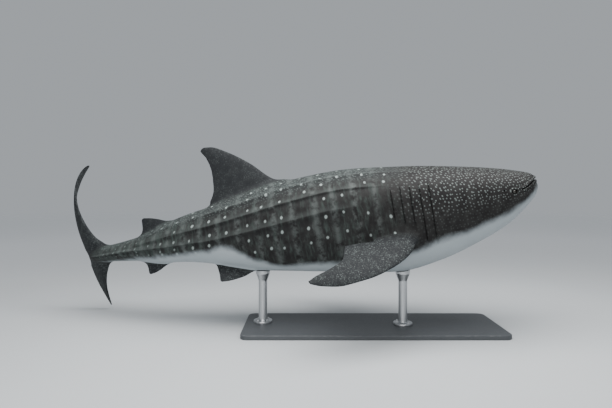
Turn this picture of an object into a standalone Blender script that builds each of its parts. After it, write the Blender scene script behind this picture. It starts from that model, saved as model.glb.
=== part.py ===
"""Whale shark, life size, cruising pose, held over a flat base by two short rods.

Blender 4.5, metres, +Z up. The animal is first laid out straight, nose towards +X, left side
towards +Y, and is then bent along its swimming spine. The origin is the middle of the underside
of the base.
"""
import math

import bmesh
import bpy
import numpy as np
from mathutils import Matrix, Vector

# Driving dimensions; places along the body and heights are fractions of the total length
TOTAL_LENGTH = 8.0
GAP = 0.0003

# The spine: where its point at SPINE_STATION stands, how far the nose is lifted, the bend to
# the left and the lean to the right in degrees at places along the body, and how far the tips
# of the tail fin lag to the left, in metres at one metre from the spine
SPINE_STATION = 0.35
SPINE_POINT = (-0.61, 0.03, 1.50)
NOSE_LIFT = math.radians(9.4)
BEND = ((-0.02, 11), (0, 10.5), (0.1, 7), (0.2, 4.4), (0.35, 3), (0.45, 4.4), (0.55, 8),
        (0.65, 14.5), (0.72, 20.5), (0.78, 29), (0.84, 42), (0.90, 50), (0.96, 56), (1.12, 62))
LEAN = ((0, 0), (0.70, 0), (0.76, 3), (0.86, 13), (0.96, 2), (1.12, 0))
TIP_LAG = 0.125
TIP_LAG_START = (0.72, 0.80)

# Outline of the straight body: back, belly, widest line of the flank and half width
BACK = ((0, 0.0215), (0.02, 0.0290), (0.05, 0.0385), (0.11, 0.0525), (0.21, 0.0700),
        (0.33, 0.0815), (0.41, 0.0775), (0.48, 0.0665), (0.55, 0.0555), (0.60, 0.0475),
        (0.64, 0.0385), (0.69, 0.0240), (0.74, 0.0178), (0.785, 0.0145), (0.82, 0.0085),
        (0.85, 0.0020))
BELLY = ((0, -0.0090), (0.026, -0.0310), (0.056, -0.0550), (0.11, -0.0785), (0.17, -0.0970),
         (0.233, -0.1065), (0.325, -0.0940), (0.42, -0.0785), (0.49, -0.0660), (0.56, -0.0450),
         (0.61, -0.0352), (0.65, -0.0315), (0.695, -0.0233), (0.735, -0.0187), (0.785, -0.0140),
         (0.82, -0.0085), (0.85, -0.0030))
FLANK = ((0, 0.0130), (0.009, 0.0115), (0.020, 0.0068), (0.035, 0.0014), (0.06, 0.0010),
         (0.11, 0.0035), (0.20, 0.0110), (0.33, 0.0178), (0.40, 0.0120), (0.486, 0.0030),
         (0.557, -0.0022), (0.64, -0.0025), (0.72, -0.0008), (0.85, -0.0010))
HALF_WIDTH = ((0, 0.060), (0.04, 0.0675), (0.10, 0.0780), (0.15, 0.0845), (0.20, 0.0880),
              (0.30, 0.0850), (0.40, 0.0745), (0.50, 0.0580), (0.60, 0.0410), (0.70, 0.0275),
              (0.76, 0.0225), (0.80, 0.0165), (0.825, 0.0100), (0.85, 0.0022))
UPPER_FULLNESS = ((0, 2.5), (0.08, 2.3), (0.2, 2.1), (0.5, 1.95), (0.66, 1.8), (0.76, 1.5), (0.85, 1.7))
LOWER_FULLNESS = ((0, 2.5), (0.08, 2.4), (0.25, 2.35), (0.5, 2.1), (0.66, 1.9), (0.76, 1.5), (0.85, 1.7))
NOSE_CORNER = 0.038
NOSE_CORNER_FULLNESS = 2.5
NOSE_DEPTH = 0.012
NOSE_DEPTH_FULLNESS = 2.1
JAW_REACH = 0.022
JAW_REACH_END = 0.07

# Ridges along each flank: angle of the crest from the back in degrees and its height in metres
# at places along the body, and half width of the foot of a ridge
RIDGES = (
    {"angle": ((0.2, 37), (0.35, 37), (0.62, 42)),
     "crest": ((0.18, 0), (0.26, 0.012), (0.50, 0.016), (0.60, 0.010), (0.66, 0))},
    {"angle": ((0.2, 63), (0.35, 63), (0.62, 66)),
     "crest": ((0.24, 0), (0.31, 0.012), (0.52, 0.018), (0.66, 0.012), (0.71, 0))},
    {"angle": ((0.2, 90), (0.85, 90)),
     "crest": ((0.29, 0), (0.35, 0.012), (0.60, 0.018), (0.70, 0.026), (0.78, 0.028),
               (0.83, 0.008), (0.85, 0.001))},
)
RIDGE_FOOT = 0.050
RIDGE_FOOT_LIMIT = math.radians(11)

# Mouth, lips, eyes, nostrils and gills
MOUTH_CORNER = 0.036
MOUTH_OPENING = 0.018
MOUTH_DROP = 0.003
LIP_RADIUS = 0.017
LIP_SINK = 0.007
LIP_STEPS = 13
LIP_SIDES = 6
LIP_END = 0.4
JAW_ROOT = (0.066, -0.075)
EYE_STATION = 0.0480
EYE_ANGLE = math.radians(91)
EYE_RADIUS = 0.030
EYE_SHOW = 0.009
ORBIT_RADIUS = 0.044
ORBIT_STRETCH = 1.25
ORBIT_TUBE = 0.014
ORBIT_SINK = 0.004
SPIRACLE_STATION = 0.0640
SPIRACLE_ANGLE = math.radians(88)
SPIRACLE_SIZE = (0.020, 0.014, 0.020)
NOSTRIL_STATION = 0.0035
NOSTRIL_ANGLE = math.radians(68)
NOSTRIL_SIZE = (0.020, 0.040, 0.018)
BARBEL_SIZE = (0.013, 0.020, 0.014)
GILL_SLITS = (0.178, 0.193, 0.208, 0.223, 0.238)
GILL_FLAP_RISE = 0.016
GILL_SLIT_DEPTH = 0.014
GILL_SLIT_HALF_WIDTH = 0.0005
GILL_TOP = math.radians(62)
GILL_BOTTOM = math.radians(128)
GILL_END_FADE = math.radians(14)
GILL_BOW = 0.0045

# Body nodes, from the nose to the fork of the tail
PARTINGS = (("head", 0.0, 0.165), ("gill_shoulders", 0.165, 0.300), ("trunk_front", 0.300, 0.420),
            ("trunk_rear", 0.420, 0.590), ("tail_base", 0.590, 0.720), ("tail_stalk", 0.720, 0.850))
RING_SPACING = 0.0165
NOSE_RINGS = 10
NOSE_END = 0.05
NOSE_TIP = 2e-5
ROWS_BETWEEN = (3, 2, 3, 7)

# Stand
BASE_SIZE = (3.50, 1.12, 0.06)
BASE_BEVEL = 0.012
ROD_RADIUS = 0.060
ROD_STATIONS = (0.235, 0.475)
ROD_NAMES = ("stand_rod_front", "stand_rod_rear")
FLANGE_RADIUS = 0.130
FLANGE_HEIGHT = 0.030
SADDLE_RADIUS = 0.100
SADDLE_HEIGHT = 0.120
ROD_SIDES = 32

# Materials: colour, roughness and metallic value
FINISHES = {
    "shark_skin": ((0.055, 0.066, 0.066), 0.55, 0.0),
    "shark_eye": ((0.010, 0.010, 0.012), 0.12, 0.0),
    "stand_painted_metal": ((0.10, 0.10, 0.105), 0.45, 0.4),
    "stand_steel": ((0.55, 0.55, 0.56), 0.30, 1.0),
}


def curve_through(stations):
    """Smooth curve without overshoot through (place, value) pairs."""
    place, value = np.array(stations, float).T
    step = np.diff(place)
    slope = np.diff(value) / step
    tangent = np.empty_like(value)
    tangent[0] = slope[0]
    tangent[-1] = slope[-1]
    for i in range(1, len(value) - 1):
        same_way = slope[i - 1] * slope[i] > 0
        tangent[i] = 2 / (1 / slope[i - 1] + 1 / slope[i]) if same_way else 0.0

    def read(at):
        at = np.clip(np.asarray(at, float), place[0], place[-1])
        i = np.clip(np.searchsorted(place, at) - 1, 0, len(step) - 1)
        h = step[i]
        t = (at - place[i]) / h
        return (value[i] * (1 + 2 * t) * (1 - t) ** 2 + tangent[i] * h * t * (1 - t) ** 2
                + value[i + 1] * t ** 2 * (3 - 2 * t) + tangent[i + 1] * h * t ** 2 * (t - 1))

    return read


def ramp(low, high, at):
    """Smooth step from 0 at low to 1 at high."""
    t = np.clip((np.asarray(at, float) - low) / (high - low), 0, 1)
    return t * t * (3 - 2 * t)


back = curve_through(BACK)
belly = curve_through(BELLY)
flank = curve_through(FLANK)
half_width = curve_through(HALF_WIDTH)
upper_fullness = curve_through(UPPER_FULLNESS)
lower_fullness = curve_through(LOWER_FULLNESS)


def rounded_nose(s, reach, fullness):
    """0 at the nose tip, 1 from reach backwards, along a superellipse."""
    inward = np.clip(1 - np.asarray(s, float) / reach, 0, 1)
    return (1 - inward ** fullness) ** (1 / fullness)


def smooth_body(s, angle):
    """Points of the straight body without its relief, left side, angle counted from the back."""
    s, angle = np.broadcast_arrays(np.asarray(s, float), np.asarray(angle, float))
    below = angle > math.pi / 2
    power = 2 / np.where(below, lower_fullness(s), upper_fullness(s))
    side = np.abs(np.sin(angle)) ** power
    rise = np.sign(np.cos(angle)) * np.abs(np.cos(angle)) ** power
    reach = np.where(below, flank(s) - belly(s), back(s) - flank(s))
    height = flank(s) + reach * rise * rounded_nose(s, NOSE_DEPTH, NOSE_DEPTH_FULLNESS)
    width = half_width(s) * rounded_nose(s, NOSE_CORNER, NOSE_CORNER_FULLNESS)
    jaw = ramp(math.pi / 2, math.pi * 0.75, angle) * (1 - ramp(0, JAW_REACH_END, s))
    bow = GILL_BOW * np.sin(angle) ** 2 * ramp(0.13, 0.17, s) * (1 - ramp(0.25, 0.29, s))
    x = -(s + bow) * TOTAL_LENGTH + JAW_REACH * jaw
    return np.stack([x, side * width * TOTAL_LENGTH, height * TOTAL_LENGTH], axis=-1)


def body_radius(s):
    """Mean radius of the section, which turns a width in metres into an angle."""
    return TOTAL_LENGTH * (half_width(s) + (back(s) - belly(s)) / 2) / 2


def band_angle(band, s):
    """Angle that a band of the skin spans, given its width in metres."""
    return np.minimum(band / body_radius(s), RIDGE_FOOT_LIMIT)


def ridge_angle(ridge, s):
    """Angle of the crest of a ridge from the back."""
    return np.radians(np.interp(s, *np.array(ridge["angle"]).T))


def gill_saw():
    """Places and heights of the gill flaps along the body: each rises to its edge, then drops."""
    pairs = [(GILL_SLITS[0] - 0.02, 0.0)]
    for slit in GILL_SLITS:
        pairs.append((slit - GILL_SLIT_HALF_WIDTH, GILL_FLAP_RISE))
        pairs.append((slit + GILL_SLIT_HALF_WIDTH, -GILL_SLIT_DEPTH))
    pairs.append((GILL_SLITS[-1] + 0.016, 0.0))
    return np.array(pairs).T


def relief(s, angle):
    """Height of the ridges and gill flaps over the smooth body."""
    height = np.zeros(s.shape)
    for ridge in RIDGES:
        off = np.abs(angle - ridge_angle(ridge, s)) / band_angle(RIDGE_FOOT, s)
        height += np.interp(s, *np.array(ridge["crest"]).T) * np.clip(1 - off, 0, 1) ** 1.2
    window = ramp(GILL_TOP, GILL_TOP + GILL_END_FADE, angle)
    window = window * (1 - ramp(GILL_BOTTOM - GILL_END_FADE, GILL_BOTTOM, angle))
    return height + np.interp(s, *gill_saw()) * window


def body_normal(s, angle):
    """Outward direction of the smooth body."""
    ds = 0.01 * np.asarray(s, float) + 1e-7
    da = 1e-3
    along = smooth_body(s + ds, angle) - smooth_body(s - ds, angle)
    around = smooth_body(s, np.minimum(angle + da, math.pi)) - smooth_body(
        s, np.maximum(angle - da, 0))
    normal = np.cross(around, along)
    return normal / np.linalg.norm(normal, axis=-1, keepdims=True)


def skin(s, angle, lift=0.0):
    """Points of the straight body with its relief, left side, raised by lift."""
    height = relief(s, angle) + lift
    return smooth_body(s, angle) + body_normal(s, angle) * height[..., None]


def spine_table():
    """Places along the spine with its points, bend and lean."""
    places = np.linspace(BEND[0][0], BEND[-1][0], 571)
    bend = np.radians(curve_through(BEND)(places))
    lean = np.radians(curve_through(LEAN)(places))
    step = (places[1] - places[0]) * TOTAL_LENGTH
    backward = np.stack([-np.cos(bend) * math.cos(NOSE_LIFT), np.sin(bend) * math.cos(NOSE_LIFT),
                         np.full_like(bend, -math.sin(NOSE_LIFT))], axis=-1)
    middle = (backward[1:] + backward[:-1]) / 2 * step
    points = np.vstack([np.zeros(3), np.cumsum(middle, axis=0)])
    here = [np.interp(SPINE_STATION, places, points[:, k]) for k in range(3)]
    return places, points + np.array(SPINE_POINT) - np.array(here), bend, lean


SPINE = spine_table()


def posed(points):
    """Bends points of the straight animal along the swimming spine."""
    points = np.asarray(points, float)
    places, spine, bend, lean = SPINE
    s = -points[:, 0] / TOTAL_LENGTH
    on_spine = np.stack([np.interp(s, places, spine[:, k]) for k in range(3)], axis=-1)
    bend = np.interp(s, places, bend)
    lean = np.interp(s, places, lean)
    left = np.stack([np.sin(bend), np.cos(bend), np.zeros_like(bend)], axis=-1)
    backward = np.stack([-np.cos(bend) * math.cos(NOSE_LIFT), np.sin(bend) * math.cos(NOSE_LIFT),
                         np.full_like(bend, -math.sin(NOSE_LIFT))], axis=-1)
    up = np.cross(left, backward)
    lag = TIP_LAG * ramp(*TIP_LAG_START, s) * points[:, 2] ** 2
    y = (points[:, 1] + lag) * np.cos(lean) - points[:, 2] * np.sin(lean)
    z = (points[:, 1] + lag) * np.sin(lean) + points[:, 2] * np.cos(lean)
    return on_spine + left * y[:, None] + up * z[:, None]


def finish(name):
    """Principled material of one of the finishes."""
    if name in bpy.data.materials:
        return bpy.data.materials[name]
    colour, roughness, metallic = FINISHES[name]
    material = bpy.data.materials.new(name)
    material.use_nodes = True
    shader = material.node_tree.nodes["Principled BSDF"]
    shader.inputs["Base Color"].default_value = (*colour, 1)
    shader.inputs["Roughness"].default_value = roughness
    shader.inputs["Metallic"].default_value = metallic
    return material


def new_object(name, points, faces, material):
    """Mesh object with its faces turned outwards."""
    mesh = bpy.data.meshes.new(name)
    mesh.from_pydata([tuple(map(float, p)) for p in points], [], faces)
    mesh.materials.append(finish(material))
    shape = bmesh.new()
    shape.from_mesh(mesh)
    bmesh.ops.recalc_face_normals(shape, faces=shape.faces)
    shape.to_mesh(mesh)
    shape.free()
    mesh.shade_smooth()
    mesh.set_sharp_from_angle(angle=math.radians(40))
    thing = bpy.data.objects.new(name, mesh)
    bpy.context.scene.collection.objects.link(thing)
    return thing


def tube_faces(rings, loop):
    """Triangles of a closed tube of rings, with a fan over each end."""
    faces = []
    for i in range(rings - 1):
        for j in range(loop):
            a = i * loop + j
            b = i * loop + (j + 1) % loop
            c = b + loop
            d = a + loop
            faces += [(a, b, c), (a, c, d)] if j < loop // 2 else [(a, b, d), (b, c, d)]
    first, last = rings * loop, rings * loop + 1
    end = (rings - 1) * loop
    for j in range(loop):
        faces.append((first, (j + 1) % loop, j))
        faces.append((last, end + j, end + (j + 1) % loop))
    return faces


def keep_largest(thing):
    """Deletes every closed surface of a mesh but the one with the most faces."""
    shape = bmesh.new()
    shape.from_mesh(thing.data)
    left = set(shape.faces)
    groups = []
    while left:
        group = {left.pop()}
        edge_of_search = list(group)
        while edge_of_search:
            face = edge_of_search.pop()
            near = {f for e in face.edges for f in e.link_faces} & left
            left -= near
            group |= near
            edge_of_search += near
        groups.append(group)
    largest = max(groups, key=len)
    scrap = [f for f in shape.faces if f not in largest]
    bmesh.ops.delete(shape, geom=scrap, context="FACES")
    shape.to_mesh(thing.data)
    shape.free()


def carve(thing, tool, operation="DIFFERENCE", keep_tool=False):
    """Applies a Boolean of one object, or of a collection for a union, and drops the tool."""
    modifier = thing.modifiers.new("carve", "BOOLEAN")
    modifier.operation = operation
    if isinstance(tool, bpy.types.Collection):
        modifier.operand_type = "COLLECTION"
        modifier.collection = tool
        tools = list(tool.objects)
    else:
        modifier.object = tool
        tools = [tool]
    graph = bpy.context.evaluated_depsgraph_get()
    mesh = bpy.data.meshes.new_from_object(thing.evaluated_get(graph))
    thing.modifiers.clear()
    thing.data = mesh
    keep_largest(thing)
    if not keep_tool:
        for each in tools:
            bpy.data.objects.remove(each)
    return thing


def row_angles(s):
    """Angles of the mesh rows at one place, from the back to the belly, one on each crest."""
    foot = band_angle(RIDGE_FOOT, s)
    rows = [0.0]
    for ridge, between in zip(RIDGES, ROWS_BETWEEN):
        crest = ridge_angle(ridge, s)
        rows += list(np.linspace(rows[-1], crest - foot, between + 1)[1:])
        rows += [crest, crest + foot]
    rows += list(np.linspace(rows[-1], math.pi, ROWS_BETWEEN[-1] + 1)[1:])
    return np.array(rows)


def ring_places(start, end):
    """Places of the mesh rings of one body node, with a pair at each gill slit."""
    places = [start, end]
    if start == 0:
        places = [NOSE_TIP, end]
        places += [NOSE_END * (k / NOSE_RINGS) ** 2.2 for k in range(1, NOSE_RINGS + 1)]
        start = NOSE_END
    for slit in GILL_SLITS:
        if start < slit < end:
            places += [slit - GILL_SLIT_HALF_WIDTH, slit + GILL_SLIT_HALF_WIDTH]
    count = max(2, round((end - start) / RING_SPACING))
    near = GILL_SLIT_HALF_WIDTH * 8
    for k in range(1, count):
        place = start + (end - start) * k / count
        if min(abs(place - slit) for slit in GILL_SLITS) > near:
            places.append(place)
    return sorted(places)


def body_length(name, parts, lift=0.0):
    """Closed length of the body over some of its parts, already bent into its pose."""
    places = sorted({s for _, start, end in parts for s in ring_places(start, end)})
    if lift == 0:
        places[0] += GAP / 2 / TOTAL_LENGTH
        places[-1] -= GAP / 2 / TOTAL_LENGTH
    points = []
    for s in places:
        rows = row_angles(s)
        left = skin(np.full(rows.shape, s), rows, lift)
        left[[0, -1], 1] = 0
        right = left[-2:0:-1] * np.array([1, -1, 1])
        points += [*left, *right]
    loop = len(points) // len(places)
    ends = [np.mean(points[:loop], axis=0), np.mean(points[-loop:], axis=0)]
    return new_object(name, posed(points + ends), tube_faces(len(places), loop), "shark_skin")


def ball(name, centre, axes, size, segments=14, rings=8, material="shark_skin"):
    """Closed ellipsoid with half sizes along three axes, round a point in the world."""
    shape = bmesh.new()
    bmesh.ops.create_uvsphere(shape, u_segments=segments, v_segments=rings, radius=1)
    points = [np.array(centre) + sum(np.array(axes[k]) * v.co[k] * size[k] for k in range(3))
              for v in shape.verts]
    shape.verts.index_update()
    faces = [[v.index for v in f.verts] for f in shape.faces]
    shape.free()
    return new_object(name, points, faces, material)


def place_on_skin(s, angle, side):
    """World point on the skin with its axes: outwards, towards the belly and backwards."""
    step = 1e-3
    mirror = np.array([1, side, 1])
    spots = [(s, angle), (s, angle + step), (s + step, angle)]
    points = posed([skin(np.array([a]), np.array([b]))[0] * mirror for a, b in spots])
    point = Vector(points[0])
    down = (Vector(points[1]) - point).normalized()
    rear = (Vector(points[2]) - point).normalized()
    out = down.cross(rear).normalized() * side
    return point, out, down, out.cross(down).normalized()


def mouth_block(name, opening, slack):
    """Block under the line of the mouth and in front of the root of the jaw."""
    steps = 10
    reach = half_width(0.1) * 1.4 * TOTAL_LENGTH
    front = -0.03
    profile = [(front, flank(0.0) + (opening - MOUTH_DROP) / TOTAL_LENGTH)]
    for k in range(steps + 1):
        s = MOUTH_CORNER * k / steps
        open_here = slack + (opening - slack) * (1 - k / steps) - MOUTH_DROP
        profile.append((s, flank(s) + open_here / TOTAL_LENGTH))
    profile.append((JAW_ROOT[0] + slack / TOTAL_LENGTH, JAW_ROOT[1]))
    profile.append((front, JAW_ROOT[1]))
    count = len(profile)
    points = [(-s * TOTAL_LENGTH, y, z * TOTAL_LENGTH) for y in (-reach, reach) for s, z in profile]
    points[count - 2] = (points[count - 2][0], -reach, points[count - 2][2] - slack)
    faces = [(k, (k + 1) % count, (k + 1) % count + count, k + count) for k in range(count)]
    faces += [tuple(range(count)), tuple(range(2 * count - 1, count - 1, -1))]
    block = new_object(name, posed(points), faces, "shark_skin")
    shape = bmesh.new()
    shape.from_mesh(block.data)
    bmesh.ops.triangulate(shape, faces=shape.faces)
    shape.to_mesh(block.data)
    shape.free()
    return block


def mouth_lip(name, front_height, corner_height):
    """Roll of a lip round the front of the head, from one corner of the mouth to the other."""
    places = MOUTH_CORNER * (np.arange(LIP_STEPS, 0, -1) / LIP_STEPS) ** 2
    left = smooth_body(places, np.full(places.shape, math.pi / 2))
    tip = smooth_body(np.array([NOSE_TIP]), np.array([math.pi / 2])) * [1, 0, 1]
    line = np.vstack([left, tip, left[::-1] * [1, -1, 1]])
    near = np.abs(np.arange(-LIP_STEPS, LIP_STEPS + 1)) / LIP_STEPS
    along = np.gradient(line, axis=0)
    along /= np.linalg.norm(along, axis=1, keepdims=True)
    out = np.cross(along, [0, 0, 1])
    out /= np.linalg.norm(out, axis=1, keepdims=True)
    out *= np.sign(out[LIP_STEPS, 0])
    up = np.cross(out, along)
    up *= np.sign(up[:, 2:])
    radius = LIP_RADIUS * (1 - (1 - LIP_END) * ramp(0.75, 1, near))
    height = front_height + (corner_height - front_height) * near
    centre = line - out * LIP_SINK + np.outer(height, [0, 0, 1])
    points = []
    for i in range(len(line)):
        for j in range(LIP_SIDES):
            roll = 2 * math.pi * j / LIP_SIDES
            points.append(centre[i] + (out[i] * math.cos(roll) + up[i] * math.sin(roll)) * radius[i])
    points += [centre[0], centre[-1]]
    return new_object(name, posed(points), tube_faces(len(line), LIP_SIDES), "shark_skin")


def head_and_jaw():
    """Head and lower jaw, parted by the line of the mouth, with nostrils, orbits and spiracles."""
    head = body_length(PARTINGS[0][0], PARTINGS[:1])
    jaw = body_length("lower_jaw", PARTINGS[:1])
    carve(jaw, mouth_block("jaw_block", 0.0, 0.0), "INTERSECT")
    carve(head, mouth_block("mouth_block", MOUTH_OPENING, GAP))
    off = LIP_RADIUS + MOUTH_DROP
    carve(jaw, mouth_lip("lower_lip", -off, -off), "UNION")
    carve(head, mouth_lip("upper_lip", off + MOUTH_OPENING, off), "UNION")
    for side in (1, -1):
        eye_and_orbit(head, side)
        nostril(head, side)
        point, out, down, rear = place_on_skin(SPIRACLE_STATION, SPIRACLE_ANGLE, side)
        carve(head, ball("spiracle", point, (rear, down, out), SPIRACLE_SIZE, 10, 6))


def orbit_fold(centre, out, rear, segments=22, sides=8):
    """Closed ring of skin round the eye, longer than high."""
    down = out.cross(rear)
    radius = ORBIT_RADIUS
    tube = ORBIT_TUBE
    points = []
    for i in range(segments):
        turn = 2 * math.pi * i / segments
        arm = rear * math.cos(turn) * ORBIT_STRETCH + down * math.sin(turn)
        for j in range(sides):
            roll = 2 * math.pi * j / sides
            points.append(centre + arm * (radius + tube * math.cos(roll))
                          + out * tube * math.sin(roll))
    faces = []
    for i in range(segments):
        for j in range(sides):
            a = i * sides + j
            b = i * sides + (j + 1) % sides
            c = (i + 1) % segments * sides + (j + 1) % sides
            d = (i + 1) % segments * sides + j
            faces += [(a, b, c), (a, c, d)]
    return new_object("orbit", points, faces, "shark_skin")


def eye_and_orbit(head, side):
    """Eyeball in its socket, with the thick fold of skin round it."""
    word = "left" if side > 0 else "right"
    point, out, down, rear = place_on_skin(EYE_STATION, EYE_ANGLE, side)
    carve(head, orbit_fold(point - out * ORBIT_SINK, out, rear), "UNION")
    centre = point + out * (EYE_SHOW - EYE_RADIUS)
    socket = [EYE_RADIUS + GAP] * 3
    carve(head, ball("socket", centre, (rear, down, out), socket, 18, 10))
    ball("eye_" + word, centre, (rear, down, out), [EYE_RADIUS] * 3, 18, 10, "shark_eye")


def nostril(head, side):
    """Slit of a nostril over the upper lip with the small barbel at its inner end."""
    point, out, down, rear = place_on_skin(NOSTRIL_STATION, NOSTRIL_ANGLE, side)
    carve(head, ball("nostril", point, (rear, down, out), NOSTRIL_SIZE, 10, 6))
    root = point + down * NOSTRIL_SIZE[1] * 0.75 - rear * NOSTRIL_SIZE[0] * side * 0.9
    carve(head, ball("barbel", root, (rear, down, out), BARBEL_SIZE, 10, 6), "UNION")


def fin_curve(points):
    """Smooth curve through a fin margin's points (place, outward, height), spaced evenly."""
    points = np.array(points, float)
    chord = np.linalg.norm(np.diff(points, axis=0) * [TOTAL_LENGTH, 1, 1], axis=1)
    length = np.concatenate([[0], np.cumsum(chord)]) / chord.sum()
    reads = [curve_through(list(zip(length, points[:, k]))) for k in range(3)]
    return lambda t: np.stack([read(t) for read in reads], axis=-1)


def margin_points(points):
    """Straight-body coordinates of margin points given as (place, outward, height)."""
    return np.array(points) * [-TOTAL_LENGTH, 1, 1]


def fin(name, plan, side=1):
    """Fin lofted from its leading to its trailing margin, thick in front and thin behind."""
    lead = fin_curve(plan["lead"])
    trail = fin_curve(plan["trail"])
    spans = plan["spans"]
    chords = plan["chords"]
    at = np.array([k / spans for k in range(spans + 1)])
    front = margin_points(lead(at))
    rear = margin_points(trail(at))
    along = np.gradient((front + rear) / 2, axis=0)
    across = rear - front
    normal = np.cross(across, along)
    normal /= np.linalg.norm(normal, axis=1, keepdims=True)
    chord = np.linalg.norm(across, axis=1)
    thickness = np.interp(at, *np.array(plan["thick"]).T)
    share = (0.5 * (1 - np.cos(np.pi * np.arange(chords + 1) / chords))) ** 1.15
    form = 2.6 * np.sqrt(share) * (1 - share) + 0.28 * share
    form = form / form.max()
    rings = []
    for i in range(spans + 1):
        half = np.maximum(form * thickness[i] / 2, np.minimum(plan["edge"] / 2, chord[i] * 0.2))
        half[0] = 0
        middle = front[i] + across[i] * share[:, None]
        upper = middle + normal[i] * half[:, None]
        lower = middle - normal[i] * half[:, None]
        rings.append(np.vstack([upper, lower[:0:-1]]))
    loop = len(rings[0])
    points = np.vstack(rings + [rings[0].mean(axis=0), rings[-1].mean(axis=0)])
    points = points * [1, side, 1]
    return new_object(name, posed(points), tube_faces(spans + 1, loop), "shark_skin")


# Fins: margins as (place along the body, metres outwards, metres above the axis), root first
FINS = {
    "dorsal_fin_first": {
        "lead": ((0.422, 0, 0.45), (0.433, 0, 0.68), (0.468, 0, 0.96), (0.508, 0, 1.18),
                 (0.533, 0, 1.275), (0.544, 0, 1.285)),
        "trail": ((0.530, 0, 0.28), (0.555, 0, 0.480), (0.546, 0, 0.55), (0.539, 0, 0.70),
                  (0.538, 0, 0.92), (0.544, 0, 1.12), (0.553, 0, 1.24)),
        "thick": ((0, 0.15), (0.5, 0.07), (1, 0.022)), "edge": 0.010, "spans": 14, "chords": 9},
    "dorsal_fin_second": {
        "lead": ((0.622, 0, 0.20), (0.630, 0, 0.317), (0.651, 0, 0.380), (0.672, 0, 0.424),
                 (0.682, 0, 0.435)),
        "trail": ((0.680, 0, 0.08), (0.701, 0, 0.170), (0.6945, 0, 0.215), (0.690, 0, 0.30),
                  (0.6895, 0, 0.415)),
        "thick": ((0, 0.07), (0.5, 0.035), (1, 0.014)), "edge": 0.008, "spans": 9, "chords": 7},
    "anal_fin": {
        "lead": ((0.636, 0, -0.16), (0.646, 0, -0.268), (0.664, 0, -0.342), (0.678, 0, -0.380),
                 (0.6845, 0, -0.387)),
        "trail": ((0.684, 0, -0.08), (0.702, 0, -0.175), (0.695, 0, -0.205), (0.690, 0, -0.270),
                  (0.689, 0, -0.372)),
        "thick": ((0, 0.06), (0.5, 0.032), (1, 0.014)), "edge": 0.008, "spans": 8, "chords": 7},
    "caudal_fin_upper": {
        "lead": ((0.768, 0, 0.00), (0.779, 0, 0.12), (0.811, 0, 0.28), (0.853, 0, 0.70),
                 (0.889, 0, 1.20), (0.924, 0, 1.54), (0.941, 0, 1.625), (0.947, 0, 1.635)),
        "trail": ((0.848, 0, 0.00), (0.856, 0, 0.15), (0.870, 0, 0.40), (0.892, 0, 0.78),
                  (0.917, 0, 1.18), (0.939, 0, 1.49), (0.950, 0, 1.61)),
        "thick": ((0, 0.16), (0.15, 0.10), (0.6, 0.05), (1, 0.016)), "edge": 0.009,
        "spans": 20, "chords": 8},
    "caudal_fin_lower": {
        "lead": ((0.768, 0, 0.00), (0.779, 0, -0.13), (0.799, 0, -0.30), (0.818, 0, -0.52),
                 (0.832, 0, -0.75), (0.839, 0, -0.845)),
        "trail": ((0.848, 0, 0.00), (0.8525, 0, -0.14), (0.852, 0, -0.36), (0.847, 0, -0.64),
                  (0.843, 0, -0.82)),
        "thick": ((0, 0.15), (0.2, 0.08), (0.6, 0.04), (1, 0.014)), "edge": 0.009,
        "spans": 12, "chords": 7},
    "pectoral_fin": {
        "lead": ((0.206, 0.45, -0.28), (0.212, 0.64, -0.38), (0.232, 0.84, -0.53),
                 (0.262, 1.02, -0.62), (0.300, 1.20, -0.670), (0.335, 1.35, -0.675),
                 (0.368, 1.47, -0.620), (0.381, 1.505, -0.575)),
        "trail": ((0.272, 0.42, -0.26), (0.280, 0.63, -0.33), (0.326, 0.79, -0.32),
                  (0.330, 0.90, -0.365), (0.334, 1.06, -0.43), (0.350, 1.25, -0.47),
                  (0.372, 1.42, -0.505), (0.384, 1.49, -0.540)),
        "thick": ((0, 0.13), (0.15, 0.12), (0.5, 0.07), (1, 0.020)), "edge": 0.010,
        "spans": 18, "chords": 9},
    "pelvic_fin": {
        "lead": ((0.477, 0.12, -0.38), (0.484, 0.18, -0.525), (0.505, 0.27, -0.575),
                 (0.525, 0.33, -0.590), (0.535, 0.355, -0.585)),
        "trail": ((0.535, 0.10, -0.24), (0.551, 0.17, -0.345), (0.546, 0.22, -0.405),
                  (0.541, 0.29, -0.480), (0.539, 0.345, -0.565)),
        "thick": ((0, 0.07), (0.5, 0.040), (1, 0.014)), "edge": 0.008, "spans": 9, "chords": 7},
}
PAIRED = ("pectoral_fin", "pelvic_fin")


def all_fins(body_tool):
    """Every fin, its root cut face to face with the body."""
    for name, plan in FINS.items():
        sides = ((1, "_left"), (-1, "_right")) if name in PAIRED else ((1, ""),)
        for side, word in sides:
            carve(fin(name + word, plan, side), body_tool, keep_tool=True)


def turned(name, profile, centre, sides, material):
    """Closed turned body from (radius, height) pairs, bottom first."""
    points = []
    for radius, height in profile:
        for k in range(sides):
            turn = 2 * math.pi * k / sides
            points.append((centre[0] + radius * math.cos(turn),
                           centre[1] + radius * math.sin(turn), height))
    points.append((centre[0], centre[1], profile[0][1]))
    points.append((centre[0], centre[1], profile[-1][1]))
    return new_object(name, points, tube_faces(len(profile), sides), material)


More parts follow.
